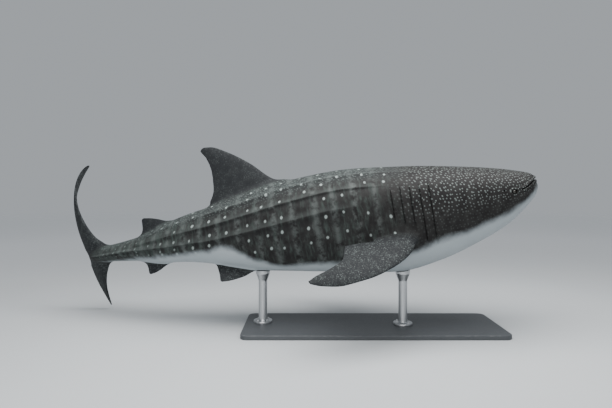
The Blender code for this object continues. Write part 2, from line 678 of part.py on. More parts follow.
def stand(body_tool):
    """Flat base and two short rods whose saddles meet the belly face to face."""
    length, width, height = BASE_SIZE
    shape = bmesh.new()
    bmesh.ops.create_cube(shape, size=1, matrix=Matrix.LocRotScale(
        Vector((0, 0, height / 2)), None, Vector(BASE_SIZE)))
    upright = [e for e in shape.edges if abs(e.verts[0].co.z - e.verts[1].co.z) > height / 2]
    bmesh.ops.bevel(shape, geom=upright, offset=0.10, segments=6, affect="EDGES", profile=0.5)
    rim = [e for e in shape.edges if all(v.co.z > height * 0.9 for v in e.verts)]
    bmesh.ops.bevel(shape, geom=rim, offset=BASE_BEVEL, segments=2, affect="EDGES", profile=0.5)
    shape.verts.index_update()
    points = [v.co.copy() for v in shape.verts]
    faces = [[v.index for v in f.verts] for f in shape.faces]
    shape.free()
    new_object("stand_base", points, faces, "stand_painted_metal")
    for name, station in zip(ROD_NAMES, ROD_STATIONS):
        x, y, belly_height = posed([(-station * TOTAL_LENGTH, 0, belly(station) * TOTAL_LENGTH)])[0]
        top = belly_height + SADDLE_HEIGHT
        foot = height + GAP
        profile = ((FLANGE_RADIUS, foot), (FLANGE_RADIUS, foot + FLANGE_HEIGHT * 0.8),
                   (FLANGE_RADIUS - FLANGE_HEIGHT * 0.2, foot + FLANGE_HEIGHT),
                   (ROD_RADIUS, foot + FLANGE_HEIGHT), (ROD_RADIUS, top - SADDLE_HEIGHT * 2.2),
                   (SADDLE_RADIUS, top - SADDLE_HEIGHT * 1.4), (SADDLE_RADIUS, top))
        rod = turned(name, profile, (x, y), ROD_SIDES, "stand_steel")
        carve(rod, body_tool, keep_tool=True)


for old in list(bpy.data.objects):
    bpy.data.objects.remove(old)

whole_body = body_length("whole_body", PARTINGS, GAP)
whole_body.hide_render = True
whole_body.display_type = "WIRE"
head_and_jaw()
for parting in PARTINGS[1:]:
    body_length(parting[0], [parting])
all_fins(whole_body)
stand(whole_body)
bpy.data.objects.remove(whole_body)
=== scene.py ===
import math

import bpy
import numpy as np
from mathutils import Matrix, Vector
from mathutils.bvhtree import BVHTree
from mathutils.kdtree import KDTree


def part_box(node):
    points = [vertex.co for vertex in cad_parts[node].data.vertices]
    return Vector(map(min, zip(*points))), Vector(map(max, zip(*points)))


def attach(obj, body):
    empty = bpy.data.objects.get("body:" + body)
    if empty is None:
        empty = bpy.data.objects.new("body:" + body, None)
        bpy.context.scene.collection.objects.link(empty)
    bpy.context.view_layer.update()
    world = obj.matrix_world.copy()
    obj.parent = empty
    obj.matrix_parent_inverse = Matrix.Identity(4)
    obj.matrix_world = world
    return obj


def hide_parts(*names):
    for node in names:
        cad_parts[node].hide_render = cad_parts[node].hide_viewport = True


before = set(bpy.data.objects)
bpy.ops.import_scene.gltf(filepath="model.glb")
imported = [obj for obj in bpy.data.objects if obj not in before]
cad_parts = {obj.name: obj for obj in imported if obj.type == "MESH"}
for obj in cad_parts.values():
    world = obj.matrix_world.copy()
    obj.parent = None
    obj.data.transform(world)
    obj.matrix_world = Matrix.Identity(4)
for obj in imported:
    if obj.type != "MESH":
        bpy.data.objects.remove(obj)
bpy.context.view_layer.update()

# Skin of the whale shark: one unbroken hide over head, trunk, tail and every fin, cast and painted
# in one piece over the body of the model. It is first laid out straight, nose to +X and left side
# to +Y, with its mouth, gills, ridges and fins, and then bent along the swimming spine.

# Places along the animal are shares of its length, counted from the nose, and so are the outlines of
# its body. Heights and depths of its relief are metres, and angles go round it from the back.
TOTAL_LENGTH = 8.0
SPINE_STATION = 0.35
SPINE_POINT = (-0.61, 0.03, 1.50)
NOSE_LIFT = math.radians(9.4)
BEND = ((-0.02, 11), (0, 10.5), (0.1, 7), (0.2, 4.4), (0.35, 3), (0.45, 4.4), (0.55, 8),
        (0.65, 14.5), (0.72, 20.5), (0.78, 29), (0.84, 42), (0.90, 50), (0.96, 56), (1.12, 62))
LEAN = ((0, 0), (0.70, 0), (0.76, 3), (0.86, 13), (0.96, 2), (1.12, 0))
TIP_LAG = 0.125
TIP_LAG_START = (0.72, 0.80)

BACK = ((0, 0.0215), (0.02, 0.0290), (0.05, 0.0385), (0.11, 0.0525), (0.21, 0.0700),
        (0.33, 0.0815), (0.41, 0.0775), (0.48, 0.0665), (0.55, 0.0555), (0.60, 0.0475),
        (0.64, 0.0385), (0.69, 0.0240), (0.74, 0.0178), (0.785, 0.0145), (0.82, 0.0085),
        (0.848, 0.0004))
BELLY = ((0, -0.0090), (0.026, -0.0310), (0.056, -0.0550), (0.11, -0.0785), (0.17, -0.0970),
         (0.233, -0.1065), (0.325, -0.0940), (0.42, -0.0785), (0.49, -0.0660), (0.56, -0.0450),
         (0.61, -0.0352), (0.65, -0.0315), (0.695, -0.0233), (0.735, -0.0187), (0.785, -0.0140),
         (0.82, -0.0085), (0.848, -0.0004))
FLANK = ((0, 0.0130), (0.009, 0.0115), (0.020, 0.0068), (0.035, 0.0014), (0.06, 0.0010),
         (0.11, 0.0035), (0.20, 0.0110), (0.33, 0.0178), (0.40, 0.0120), (0.486, 0.0030),
         (0.557, -0.0022), (0.64, -0.0025), (0.72, -0.0008), (0.848, 0.0))
HALF_WIDTH = ((0, 0.060), (0.04, 0.0675), (0.10, 0.0780), (0.15, 0.0845), (0.20, 0.0880),
              (0.30, 0.0850), (0.40, 0.0745), (0.50, 0.0580), (0.60, 0.0410), (0.70, 0.0275),
              (0.76, 0.0225), (0.80, 0.0165), (0.825, 0.0090), (0.848, 0.0003))
UPPER_FULLNESS = ((0, 2.5), (0.08, 2.3), (0.2, 2.1), (0.5, 1.95), (0.66, 1.8), (0.76, 1.5), (0.85, 1.7))
LOWER_FULLNESS = ((0, 2.5), (0.08, 2.4), (0.25, 2.35), (0.5, 2.1), (0.66, 1.9), (0.76, 1.5), (0.85, 1.7))
NOSE_CORNER = 0.038
NOSE_CORNER_FULLNESS = 2.5
NOSE_DEPTH = 0.012
NOSE_DEPTH_FULLNESS = 2.1
JAW_REACH = 0.022
JAW_REACH_END = 0.07
BODY_END = 0.847

RIDGES = (
    {"angle": ((0.2, 37), (0.35, 37), (0.62, 42)),
     "crest": ((0.18, 0), (0.26, 0.012), (0.50, 0.016), (0.60, 0.010), (0.66, 0))},
    {"angle": ((0.2, 63), (0.35, 63), (0.62, 66)),
     "crest": ((0.24, 0), (0.31, 0.012), (0.52, 0.018), (0.66, 0.012), (0.71, 0))},
    {"angle": ((0.2, 90), (0.85, 90)),
     "crest": ((0.29, 0), (0.35, 0.012), (0.60, 0.018), (0.70, 0.026), (0.78, 0.028),
               (0.83, 0.005), (0.843, 0))},
)
RIDGE_FOOT = 0.050
RIDGE_FOOT_LIMIT = math.radians(11)
RIDGE_SHOULDER = 1.5
RIDGE_UNDERCUT = 0.62

MOUTH_CORNER = 0.036
MOUTH_OPENING = 0.018
MOUTH_DROP = 0.003
MOUTH_DEPTH = 0.045
LIP_RADIUS = 0.017
LIP_HEIGHT = 0.010
LIP_EDGE = 0.45
EYE_STATION = 0.0480
EYE_ANGLE = math.radians(91)
EYE_RADIUS = 0.030
ORBIT_RADIUS = 0.042
ORBIT_STRETCH = 1.2
SPIRACLE_STATION = 0.0640
SPIRACLE_ANGLE = math.radians(88)
NOSTRIL_STATION = 0.0090
NOSTRIL_ANGLE = math.radians(60)
GILL_SLITS = (0.178, 0.193, 0.208, 0.223, 0.238)
GILL_FLAP_RISE = 0.014
GILL_SLIT_DEPTH = 0.018
GILL_SLIT_HALF_WIDTH = 0.0005
GILL_TOPS = (60, 62, 63, 65, 68)
GILL_BOTTOMS = (131, 129, 118, 110, 106)
GILL_END_FADE = 9
GILL_BOW = 0.0045
TAIL_PIT = 0.786
TAIL_PIT_DEPTH = 0.010
BACK_ROWS = 88
RING_SPACING = ((0.012, 0.0050), (0.034, 0.0050), (0.037, 0.0036), (0.072, 0.0036), (0.085, 0.0110),
                (0.165, 0.0110), (0.172, 0.0062), (0.252, 0.0062), (0.27, 0.0145), (0.75, 0.0145),
                (0.85, 0.0090))
SLIT_ROWS = 13
SLIT_MARKS = (0, 4, 9, 13)
BELLY_ROWS = 88
ROWS = BACK_ROWS + SLIT_ROWS + BELLY_ROWS + 1


def curve_through(stations):
    """Smooth curve without overshoot through (place, value) pairs."""
    place, value = np.array(stations, float).T
    step = np.diff(place)
    slope = np.diff(value) / step
    tangent = np.empty_like(value)
    tangent[0] = slope[0]
    tangent[-1] = slope[-1]
    for i in range(1, len(value) - 1):
        same_way = slope[i - 1] * slope[i] > 0
        tangent[i] = 2 / (1 / slope[i - 1] + 1 / slope[i]) if same_way else 0.0

    def read(at):
        at = np.clip(np.asarray(at, float), place[0], place[-1])
        i = np.clip(np.searchsorted(place, at) - 1, 0, len(step) - 1)
        h = step[i]
        t = (at - place[i]) / h
        return (value[i] * (1 + 2 * t) * (1 - t) ** 2 + tangent[i] * h * t * (1 - t) ** 2
                + value[i + 1] * t ** 2 * (3 - 2 * t) + tangent[i + 1] * h * t ** 2 * (t - 1))

    return read


def ramp(low, high, at):
    """Smooth step from 0 at low to 1 at high."""
    t = np.clip((np.asarray(at, float) - low) / (high - low), 0, 1)
    return t * t * (3 - 2 * t)


def line_through(stations, at):
    """Value at a place on straight lines through (place, value) pairs."""
    return np.interp(at, *np.array(stations).T)


def between(low, high, at, fade):
    """1 from low to high, with soft ends."""
    return ramp(low - fade, low, at) * (1 - ramp(high, high + fade, at))


back = curve_through(BACK)
belly = curve_through(BELLY)
flank = curve_through(FLANK)
half_width = curve_through(HALF_WIDTH)
upper_fullness = curve_through(UPPER_FULLNESS)
lower_fullness = curve_through(LOWER_FULLNESS)


def rounded_nose(s, reach, fullness):
    """0 at the nose tip, 1 from reach backwards, along a superellipse."""
    inward = np.clip(1 - np.asarray(s, float) / reach, 0, 1)
    return (1 - inward ** fullness) ** (1 / fullness)


def smooth_body(s, angle):
    """Points of the straight body without its relief, left side, angle counted from the back."""
    s, angle = np.broadcast_arrays(np.asarray(s, float), np.asarray(angle, float))
    below = angle > math.pi / 2
    power = 2 / np.where(below, lower_fullness(s), upper_fullness(s))
    side = np.abs(np.sin(angle)) ** power
    rise = np.sign(np.cos(angle)) * np.abs(np.cos(angle)) ** power
    reach = np.where(below, flank(s) - belly(s), back(s) - flank(s))
    height = flank(s) + reach * rise * rounded_nose(s, NOSE_DEPTH, NOSE_DEPTH_FULLNESS)
    width = half_width(s) * rounded_nose(s, NOSE_CORNER, NOSE_CORNER_FULLNESS)
    below_mouth = (flank(s) - height) * TOTAL_LENGTH
    jaw = ramp(0.0, 0.10, below_mouth) * (1 - ramp(0, JAW_REACH_END, s))
    bow = GILL_BOW * np.sin(angle) ** 2 * ramp(0.13, 0.17, s) * (1 - ramp(0.25, 0.29, s))
    x = -(s + bow) * TOTAL_LENGTH + JAW_REACH * jaw
    return np.stack([x, side * width * TOTAL_LENGTH, height * TOTAL_LENGTH], axis=-1)


def body_normal(s, angle):
    """Outward direction of the smooth body."""
    ds = 0.01 * np.asarray(s, float) + 1e-7
    da = 1e-3
    along = smooth_body(s + ds, angle) - smooth_body(s - ds, angle)
    around = smooth_body(s, np.minimum(angle + da, math.pi)) - smooth_body(s, np.maximum(angle - da, 0))
    normal = np.cross(around, along)
    return normal / np.linalg.norm(normal, axis=-1, keepdims=True)


def backward_at(bend):
    """Direction of the spine towards the tail where it is bent by an angle."""
    return np.stack([-np.cos(bend) * math.cos(NOSE_LIFT), np.sin(bend) * math.cos(NOSE_LIFT),
                     np.full_like(bend, -math.sin(NOSE_LIFT))], axis=-1)


def spine_table():
    """Places along the spine with its points, bend and lean."""
    places = np.linspace(BEND[0][0], BEND[-1][0], 571)
    bend, lean = [np.radians(curve_through(table)(places)) for table in (BEND, LEAN)]
    backward = backward_at(bend)
    middle = (backward[1:] + backward[:-1]) / 2 * (places[1] - places[0]) * TOTAL_LENGTH
    points = np.vstack([np.zeros(3), np.cumsum(middle, axis=0)])
    here = [np.interp(SPINE_STATION, places, column) for column in points.T]
    return places, points + SPINE_POINT - here, bend, lean


SPINE = spine_table()


def posed(points):
    """Bends points of the straight animal along the swimming spine."""
    places, spine, bend, lean = SPINE
    s, z = -points[:, 0] / TOTAL_LENGTH, points[:, 2]
    on_spine = np.stack([np.interp(s, places, column) for column in spine.T], axis=-1)
    bend, lean = np.interp(s, places, bend), np.interp(s, places, lean)
    left = np.stack([np.sin(bend), np.cos(bend), np.zeros_like(bend)], axis=-1)
    up = np.cross(left, backward_at(bend))
    y = points[:, 1] + TIP_LAG * ramp(*TIP_LAG_START, s) * z ** 2
    across, rise = y * np.cos(lean) - z * np.sin(lean), y * np.sin(lean) + z * np.cos(lean)
    return on_spine + left * across[:, None] + up * rise[:, None]


def straight_axes(s, angle):
    """Point on the smooth straight body, left side, with its directions outwards, down and back."""
    step = 1e-3
    point = smooth_body(s, angle)
    down = smooth_body(s, angle + step) - point
    rear = smooth_body(s + step, angle) - point
    out = body_normal(np.array([s]), np.array([angle]))[0]
    rear = rear - out * (rear @ out)
    rear /= np.linalg.norm(rear)
    down = np.cross(out, rear)
    down *= np.sign(down @ (smooth_body(s, angle + step) - point))
    return point, out, down, rear


def ridge_relief(s, angle):
    """Long ridges from the shoulders to the tail, the lowest one widening into the tail's keel."""
    radius = TOTAL_LENGTH * (half_width(s) + (back(s) - belly(s)) / 2) / 2
    foot = np.minimum(RIDGE_FOOT / radius, RIDGE_FOOT_LIMIT)
    height = np.zeros(s.shape)
    for ridge in RIDGES:
        crest = curve_through(ridge["crest"])(s)
        below = (angle - np.radians(line_through(ridge["angle"], s))) / foot
        off = np.sqrt((below / np.where(below > 0, RIDGE_UNDERCUT, RIDGE_SHOULDER)) ** 2 + 0.006)
        height += crest * np.clip(1.04 - off, 0, 1) ** 1.25
        height -= crest * 0.25 * np.exp(-((below - 1.0) / 0.55) ** 2)
    return height


def gill_relief(s, angle):
    """Five flaps of skin, each lifting to its rear edge over the slit behind it."""
    degrees = np.degrees(angle)
    height = np.zeros(s.shape)
    pitch = GILL_SLITS[1] - GILL_SLITS[0]
    for slit, top, bottom in zip(GILL_SLITS, GILL_TOPS, GILL_BOTTOMS):
        window = between(top + GILL_END_FADE, bottom - GILL_END_FADE, degrees, GILL_END_FADE)
        ahead = (slit - s) / pitch
        flap = np.where(ahead >= 0, np.clip(1 - ahead, 0, 1) ** 1.6, 0)
        behind = np.where(ahead < 0, np.exp(-((s - slit) / (pitch * 0.065)) ** 2), 0)
        edge = np.clip((s - slit) / GILL_SLIT_HALF_WIDTH * 0.5 + 0.5, 0, 1)
        height += window * (GILL_FLAP_RISE * flap * (1 - edge) - GILL_SLIT_DEPTH * behind * edge)
    return height


def slit_edges(s):
    """Middle and half height of the open mouth, measured from the line of the mouth."""
    opening = MOUTH_OPENING * (1 - np.clip(s / MOUTH_CORNER, 0, 1))
    return opening / 2 - MOUTH_DROP + 0.001, opening / 2 + 0.0005


def mouth_relief(s, point):
    """Slit of the mouth between two rounded lips, which flow out into the skin."""
    near = s / MOUTH_CORNER
    above = point[..., 2] - flank(s) * TOTAL_LENGTH
    centre, half = slit_edges(s)
    off = (np.abs(above - centre) - half) / LIP_RADIUS
    roll = np.sqrt(np.clip(1 - (1 - np.clip(off, 0, 1)) ** 2, 0, 1))
    outer = np.exp(-(np.clip(off - 1, 0, None) / 1.1) ** 2)
    crease = np.exp(-((off - 2.6) / 0.55) ** 2)
    slit = (1 - ramp(0, LIP_EDGE, off)) * (1 - ramp(0.93, 1.04, near))
    fade = 1 - ramp(0.85, 1.30, near)
    return (LIP_HEIGHT * roll * outer - 0.003 * crease) * fade * (1 - slit), slit


def eye_relief(point):
    """Thick ring of skin round the eye, its socket, and the folds behind it."""
    centre, out, down, rear = straight_axes(EYE_STATION, EYE_ANGLE)
    off = point - centre
    lengthwise = off @ rear
    upright = off @ down
    far = np.hypot(lengthwise / ORBIT_STRETCH, upright)
    turn = np.arctan2(upright, -lengthwise)
    ring = np.exp(-((far - ORBIT_RADIUS + 0.003) / 0.013) ** 2) * (0.85 + 0.15 * np.cos(turn + 0.9))
    socket = 1 - ramp(0.0255, 0.0300, far)
    moat = np.exp(-((far - ORBIT_RADIUS - 0.022) / 0.010) ** 2) * (0.55 - 0.45 * np.cos(turn - 0.5))
    return 0.009 * ring - 0.030 * socket - 0.0025 * moat


def pit_relief(point, station, angle, size, depth, rim):
    """Small oval hole with a soft rim, such as a spiracle or a nostril."""
    centre, out, down, rear = straight_axes(station, angle)
    off = point - centre
    far = np.hypot(off @ rear / size[0], off @ down / size[1])
    return rim * np.exp(-((far - 1.25) / 0.4) ** 2) - depth * (1 - ramp(0.55, 1.0, far))


def ring_line():
    """Places of the skin's rings, close at the snout, mouth, eyes and gill slits."""
    quarter = np.linspace(0, 1, 38)[1:]
    snout = NOSE_DEPTH * (1 - (1 - quarter ** NOSE_DEPTH_FULLNESS) ** (1 / NOSE_DEPTH_FULLNESS))
    fine = np.linspace(NOSE_DEPTH, BODY_END, 20001)
    spacing = line_through(RING_SPACING, fine)
    count = np.concatenate([[0], np.cumsum(np.diff(fine) * TOTAL_LENGTH / spacing[1:])])
    rest = np.interp(np.arange(1, int(count[-1])), count, fine)
    slits = np.array(GILL_SLITS)
    gills = slits[:, None] + GILL_SLIT_HALF_WIDTH * np.array([-2.4, -1, -0.3, 0.3, 1, 2.4, 4.4])
    near = np.abs(rest[:, None] - slits).min(axis=1) < 5.4 * GILL_SLIT_HALF_WIDTH
    return np.sort(np.concatenate([[1e-6], snout, rest[~near], gills.ravel(), [BODY_END]]))


def angle_above(s, rise):
    """Angle of the point of a ring that lies a given height above the line of the mouth."""
    nose = rounded_nose(s, NOSE_DEPTH, NOSE_DEPTH_FULLNESS) * TOTAL_LENGTH
    if rise > 0:
        share = min(rise / ((back(s) - flank(s)) * nose), 0.85)
        return math.acos(share ** (upper_fullness(s) / 2))
    share = min(-rise / ((flank(s) - belly(s)) * nose), 0.85)
    return math.pi - math.acos(share ** (lower_fullness(s) / 2))


def row_lines(rings):
    """Angles of the skin's rows on every ring: some along the slit of the mouth, the others close
    together at the lips, eyes, nostrils and ridges."""
    angles = np.empty((len(rings), ROWS))
    for i, s in enumerate(rings):
        centre, half = slit_edges(s)
        edge = half + LIP_EDGE * LIP_RADIUS
        marks = [angle_above(s, centre + rise) for rise in (edge, half, -half, -edge)]
        slit = np.interp(np.arange(SLIT_ROWS + 1), SLIT_MARKS, marks)
        upper = spread_rows(s, 0.0, marks[0], BACK_ROWS)
        lower = spread_rows(s, marks[3], math.pi, BELLY_ROWS)
        angles[i] = np.concatenate([upper[:-1], slit, lower[1:]])
    return angles


def spread_rows(s, start, end, count):
    """Angles from start to end, closer where the skin has finer forms."""
    grid = np.linspace(start, end, 361)
    line = smooth_body(np.full(grid.shape, s), grid)
    step = np.linalg.norm(np.diff(line, axis=0), axis=1)
    middle = (grid[1:] + grid[:-1]) / 2
    girth = np.concatenate([[0], np.cumsum(step)])
    arc = (girth[1:] + girth[:-1]) / 2
    from_slit = girth[-1] - arc if start == 0 else arc
    weight = 1 + 3.0 * (1 - ramp(0.070, 0.11, s)) * np.exp(-(from_slit / 0.060) ** 2)
    nostril = np.exp(-((middle - NOSTRIL_ANGLE) / math.radians(12)) ** 2)
    weight = weight + 1.5 * (1 - ramp(0.012, 0.045, s)) * nostril
    for ridge in RIDGES:
        crest = np.interp(np.radians(line_through(ridge["angle"], s)), grid, girth)
        weight = weight + 1.6 * ramp(0.17, 0.25, s) * np.exp(-((arc - crest) / 0.022) ** 2)
    total = np.concatenate([[0], np.cumsum(weight * step)])
    return np.interp(np.linspace(0, total[-1], count + 1), total, grid)


def hide_grid():
    """Rings and rows of the straight skin: its points, and where each lies on the animal."""
    rings = ring_line()
    left_angles = row_lines(rings)
    s = np.repeat(rings[:, None], ROWS, axis=1)
    smooth = smooth_body(s, left_angles)
    normal = body_normal(s, left_angles)
    tail_pit = np.exp(-((s - TAIL_PIT) / 0.006) ** 2) * (1 - ramp(0.25, 0.7, left_angles))
    height = ridge_relief(s, left_angles) + gill_relief(s, left_angles) - TAIL_PIT_DEPTH * tail_pit
    lips, slit = mouth_relief(s, smooth)
    height += lips
    head = s < 0.12
    height[head] += eye_relief(smooth[head])
    height[head] += pit_relief(smooth[head], SPIRACLE_STATION, SPIRACLE_ANGLE, (0.017, 0.011), 0.018, 0.002)
    height[head] += pit_relief(smooth[head], NOSTRIL_STATION, NOSTRIL_ANGLE, (0.012, 0.020), 0.010, 0.003)
    mouth_way = normal[:, BACK_ROWS + 6][:, None]
    points = smooth + normal * height[..., None] - mouth_way * (slit * MOUTH_DEPTH)[..., None]
    points[:, [0, -1], 1] = 0
    around = np.concatenate([np.zeros((len(rings), 1)),
                             np.cumsum(np.linalg.norm(np.diff(smooth, axis=1), axis=2), axis=1)], axis=1)
    even = np.linspace(0, math.pi, 181)
    lines = smooth_body(rings[:, None], even[None, :])
    lengths = np.cumsum(np.linalg.norm(np.diff(lines, axis=0, prepend=lines[:1]), axis=2), axis=0)
    along = np.stack([np.interp(angles, even, line) for angles, line in zip(left_angles, lengths)])
    return rings, left_angles, points, around, along, height - slit * MOUTH_DEPTH


def wrap_left(grid, mirror=1):
    """Left half of a grid with its right half joined on, the rows running back, belly, back."""
    return np.concatenate([grid, grid[:, -2:0:-1] * np.array(mirror)], axis=1)


def closed_tube(rings):
    """Points and faces of a closed stack of rings: its sides, then a fan round a middle point at each
    end."""
    rings = np.array(rings)
    count, loop = rings.shape[:2]
    points = np.vstack([rings.reshape(-1, 3), rings[0].mean(axis=0), rings[-1].mean(axis=0)])
    i, j = np.arange(count - 1)[:, None] * loop, np.arange(loop)
    ahead, end = (j + 1) % loop, (count - 1) * loop
    sides = np.stack([i + j, i + ahead, i + loop + ahead, i + loop + j], axis=-1).reshape(-1, 4)
    return points, [sides, np.stack([0 * j + end + loop, ahead, j], axis=1),
                    np.stack([0 * j + end + loop + 1, end + j, end + ahead], axis=1)]


def new_mesh(name, points, groups):
    mesh = bpy.data.meshes.new(name)
    mesh.from_pydata(points.tolist(), [], [face for group in groups for face in group.tolist()])
    return mesh


def hide_mesh(name, rings, atlas_place):
    """Closed mesh of rings; atlas_place gives where rings and rows lie on the atlas."""
    count, loop = rings.shape[:2]
    points, groups = closed_tube(rings)
    mesh = new_mesh(name, points, groups)
    places = []
    for faces in groups:
        tip = faces >= count * loop
        ring = np.where(tip, np.where(faces == count * loop, 0, count - 1), faces // loop)
        places.append(atlas_place(ring, np.where(tip, 0, faces % loop), tip).reshape(-1, 2))
    atlas = mesh.uv_layers.new(name="OFBake")
    atlas.data.foreach_set("uv", np.concatenate(places).astype(np.float32).ravel())
    corners = points[groups[0]] - points.mean(axis=0)
    way = np.cross(corners[:, 2] - corners[:, 0], corners[:, 3] - corners[:, 1])
    if (way * corners[:, 0]).sum() < 0:
        mesh.flip_normals()
    return mesh


def add_marks(mesh, name, *columns):
    """Stores three numbers a point on a mesh for its finish to read."""
    store = mesh.attributes.get(name) or mesh.attributes.new(name, "FLOAT_VECTOR", "POINT")
    values = np.stack(np.broadcast_arrays(*columns), axis=-1)
    store.data.foreach_set("vector", values.astype(np.float32).ravel())


def read_numbers(items, field):
    """Three columns of numbers of all items of a mesh."""
    numbers = np.empty(len(items) * 3, np.float32)
    items.foreach_get(field, numbers)
    return numbers.reshape(-1, 3).astype(float).T


def read_marks(mesh, name):
    """Three columns of numbers stored on a mesh."""
    return read_numbers(mesh.attributes[name].data, "vector")


ATLAS_BODY = 0.58
ATLAS_FIN_SCALE = 0.110
ATLAS_EDGE = 0.004
ATLAS_HEAD_END = 0.17
ATLAS_HEAD_GAIN = 0.6


def with_ends(grid):
    """Rows of a grid's numbers, with those of its first and last ring once more for the two ends."""
    flat = grid.reshape(-1, grid.shape[-1])
    return np.vstack([flat, flat[[0, -grid.shape[1]]]]).T


def body_mesh():
    """Straight head, trunk and tail without fins, with its marks. On the atlas the head is given more
    room than its length asks."""
    rings, left_angles, points, around, along, height = hide_grid()
    loop = 2 * ROWS - 2

    def atlas_place(ring, row, tip):
        row = np.where((row == 0) & (row.max(axis=1, keepdims=True) == loop - 1), loop, row)
        middle = np.where(tip, 0, row).sum(axis=1, keepdims=True) / 2
        across = (np.where(tip, middle, row) / loop + 0.5) % 1.0
        seam = across.max(axis=1, keepdims=True) - across.min(axis=1, keepdims=True) > 0.5
        across = np.where(seam & (across < 0.5), across + 1.0, across)
        along = rings[ring] + np.minimum(rings[ring], ATLAS_HEAD_END) * ATLAS_HEAD_GAIN
        along = along / (BODY_END + ATLAS_HEAD_END * ATLAS_HEAD_GAIN)
        room = np.array([1, ATLAS_BODY]) - 2 * ATLAS_EDGE
        return ATLAS_EDGE + np.stack([along, across], axis=-1) * room

    mesh = hide_mesh("hide_body", wrap_left(points, (1, -1, 1)), atlas_place)
    sides = np.concatenate([np.ones(ROWS), -np.ones(ROWS - 2)])
    angle, around = np.degrees(wrap_left(left_angles)) * sides, wrap_left(around) * sides
    station = np.repeat(rings[:, None] * TOTAL_LENGTH, loop, axis=1)
    add_marks(mesh, "hide_marks", *with_ends(np.stack([wrap_left(along), around, 0 * around], axis=-1)))
    add_marks(mesh, "hide_place", *with_ends(np.stack([station, angle, wrap_left(height)], axis=-1)))
    return mesh


# Margins of the fins: place along the animal, metres outwards on the paired ones, and metres upwards.
# Their thickness is metres at a share of the span.
FINS = {
    "dorsal_fin_first": {
        "lead": ((0.400, 0.52), (0.410, 0.600), (0.433, 0.694), (0.468, 0.955), (0.508, 1.18),
                 (0.533, 1.275), (0.544, 1.285)),
        "trail": ((0.530, 0.28), (0.555, 0.480), (0.546, 0.55), (0.539, 0.70),
                  (0.538, 0.92), (0.544, 1.12), (0.553, 1.24)),
        "thick": ((0, 0.15), (0.5, 0.07), (1, 0.022)), "edge": 0.006, "fillet": 0.11},
    "dorsal_fin_second": {
        "lead": ((0.622, 0.20), (0.630, 0.317), (0.651, 0.380), (0.672, 0.424),
                 (0.682, 0.435)),
        "trail": ((0.680, 0.08), (0.701, 0.170), (0.6945, 0.215), (0.690, 0.30),
                  (0.6895, 0.415)),
        "thick": ((0, 0.07), (0.5, 0.035), (1, 0.014)), "edge": 0.005, "fillet": 0.05},
    "anal_fin": {
        "lead": ((0.636, -0.16), (0.646, -0.268), (0.664, -0.342), (0.678, -0.380),
                 (0.6845, -0.387)),
        "trail": ((0.684, -0.08), (0.702, -0.175), (0.695, -0.205), (0.690, -0.270),
                  (0.689, -0.372)),
        "thick": ((0, 0.06), (0.5, 0.032), (1, 0.014)), "edge": 0.005, "fillet": 0.05},
    "caudal_fin_upper": {
        "lead": ((0.766, -0.03), (0.779, 0.12), (0.811, 0.28), (0.853, 0.70),
                 (0.889, 1.20), (0.924, 1.54), (0.941, 1.625), (0.947, 1.635)),
        "trail": ((0.848, -0.03), (0.856, 0.15), (0.870, 0.40), (0.892, 0.78),
                  (0.917, 1.18), (0.939, 1.49), (0.950, 1.61)),
        "thick": ((0, 0.16), (0.15, 0.10), (0.6, 0.05), (1, 0.016)), "edge": 0.006, "fillet": 0.05},
    "caudal_fin_lower": {
        "lead": ((0.766, 0.03), (0.779, -0.13), (0.799, -0.30), (0.818, -0.52),
                 (0.832, -0.75), (0.839, -0.845)),
        "trail": ((0.848, 0.03), (0.8525, -0.14), (0.852, -0.36), (0.847, -0.64),
                  (0.843, -0.82)),
        "thick": ((0, 0.15), (0.2, 0.08), (0.6, 0.04), (1, 0.014)), "edge": 0.006, "fillet": 0.05},
    "pectoral_fin": {
        "lead": ((0.206, 0.45, -0.28), (0.212, 0.64, -0.38), (0.232, 0.84, -0.53),
                 (0.262, 1.02, -0.62), (0.300, 1.20, -0.670), (0.335, 1.35, -0.675),
                 (0.368, 1.47, -0.620), (0.381, 1.505, -0.575)),
        "trail": ((0.272, 0.42, -0.26), (0.280, 0.63, -0.33), (0.326, 0.79, -0.32),
                  (0.330, 0.90, -0.365), (0.334, 1.06, -0.43), (0.350, 1.25, -0.47),
                  (0.372, 1.42, -0.505), (0.384, 1.49, -0.540)),
        "thick": ((0, 0.13), (0.15, 0.12), (0.5, 0.07), (1, 0.020)), "edge": 0.006, "fillet": 0.10},
    "pelvic_fin": {
        "lead": ((0.477, 0.12, -0.38), (0.484, 0.18, -0.525), (0.505, 0.27, -0.575),
                 (0.525, 0.33, -0.590), (0.535, 0.355, -0.585)),
        "trail": ((0.535, 0.10, -0.24), (0.551, 0.17, -0.345), (0.546, 0.22, -0.405),
                  (0.541, 0.29, -0.480), (0.539, 0.345, -0.565)),
        "thick": ((0, 0.07), (0.5, 0.040), (1, 0.014)), "edge": 0.005, "fillet": 0.05},
}
PAIRED = ("pectoral_fin", "pelvic_fin")
LONGEST_FIRST = ("caudal_fin_upper", "pectoral_fin", "dorsal_fin_first", "caudal_fin_lower", "pelvic_fin",
                 "dorsal_fin_second", "anal_fin")
FIN_KINDS = (("dorsal", 5), ("caudal", 90), ("pectoral", 114), ("pelvic", 150), ("anal", 170))
FIN_BLEND_PASSES = 14
FIN_GRAIN = 0.014
FIN_CHORDS = 30
FIN_TIP_TURNS = (18, 36, 54, 70, 82)
ATLAS_SHELVES = []


def fin_margin(points):
    """Length of a fin's margin, and the curve along it through its points: place, outward unless it
    is on the middle plane, and height."""
    points = np.array([(point[0], *(point[1:-1] or (0,)), point[-1]) for point in points])
    points = points * [-TOTAL_LENGTH, 1, 1]
    chord = np.linalg.norm(np.diff(points, axis=0), axis=1)
    length = np.concatenate([[0], np.cumsum(chord)]) / chord.sum()
    reads = [curve_through(list(zip(length, column))) for column in points.T]
    return chord.sum(), lambda t: np.stack([read(t) for read in reads], axis=-1)


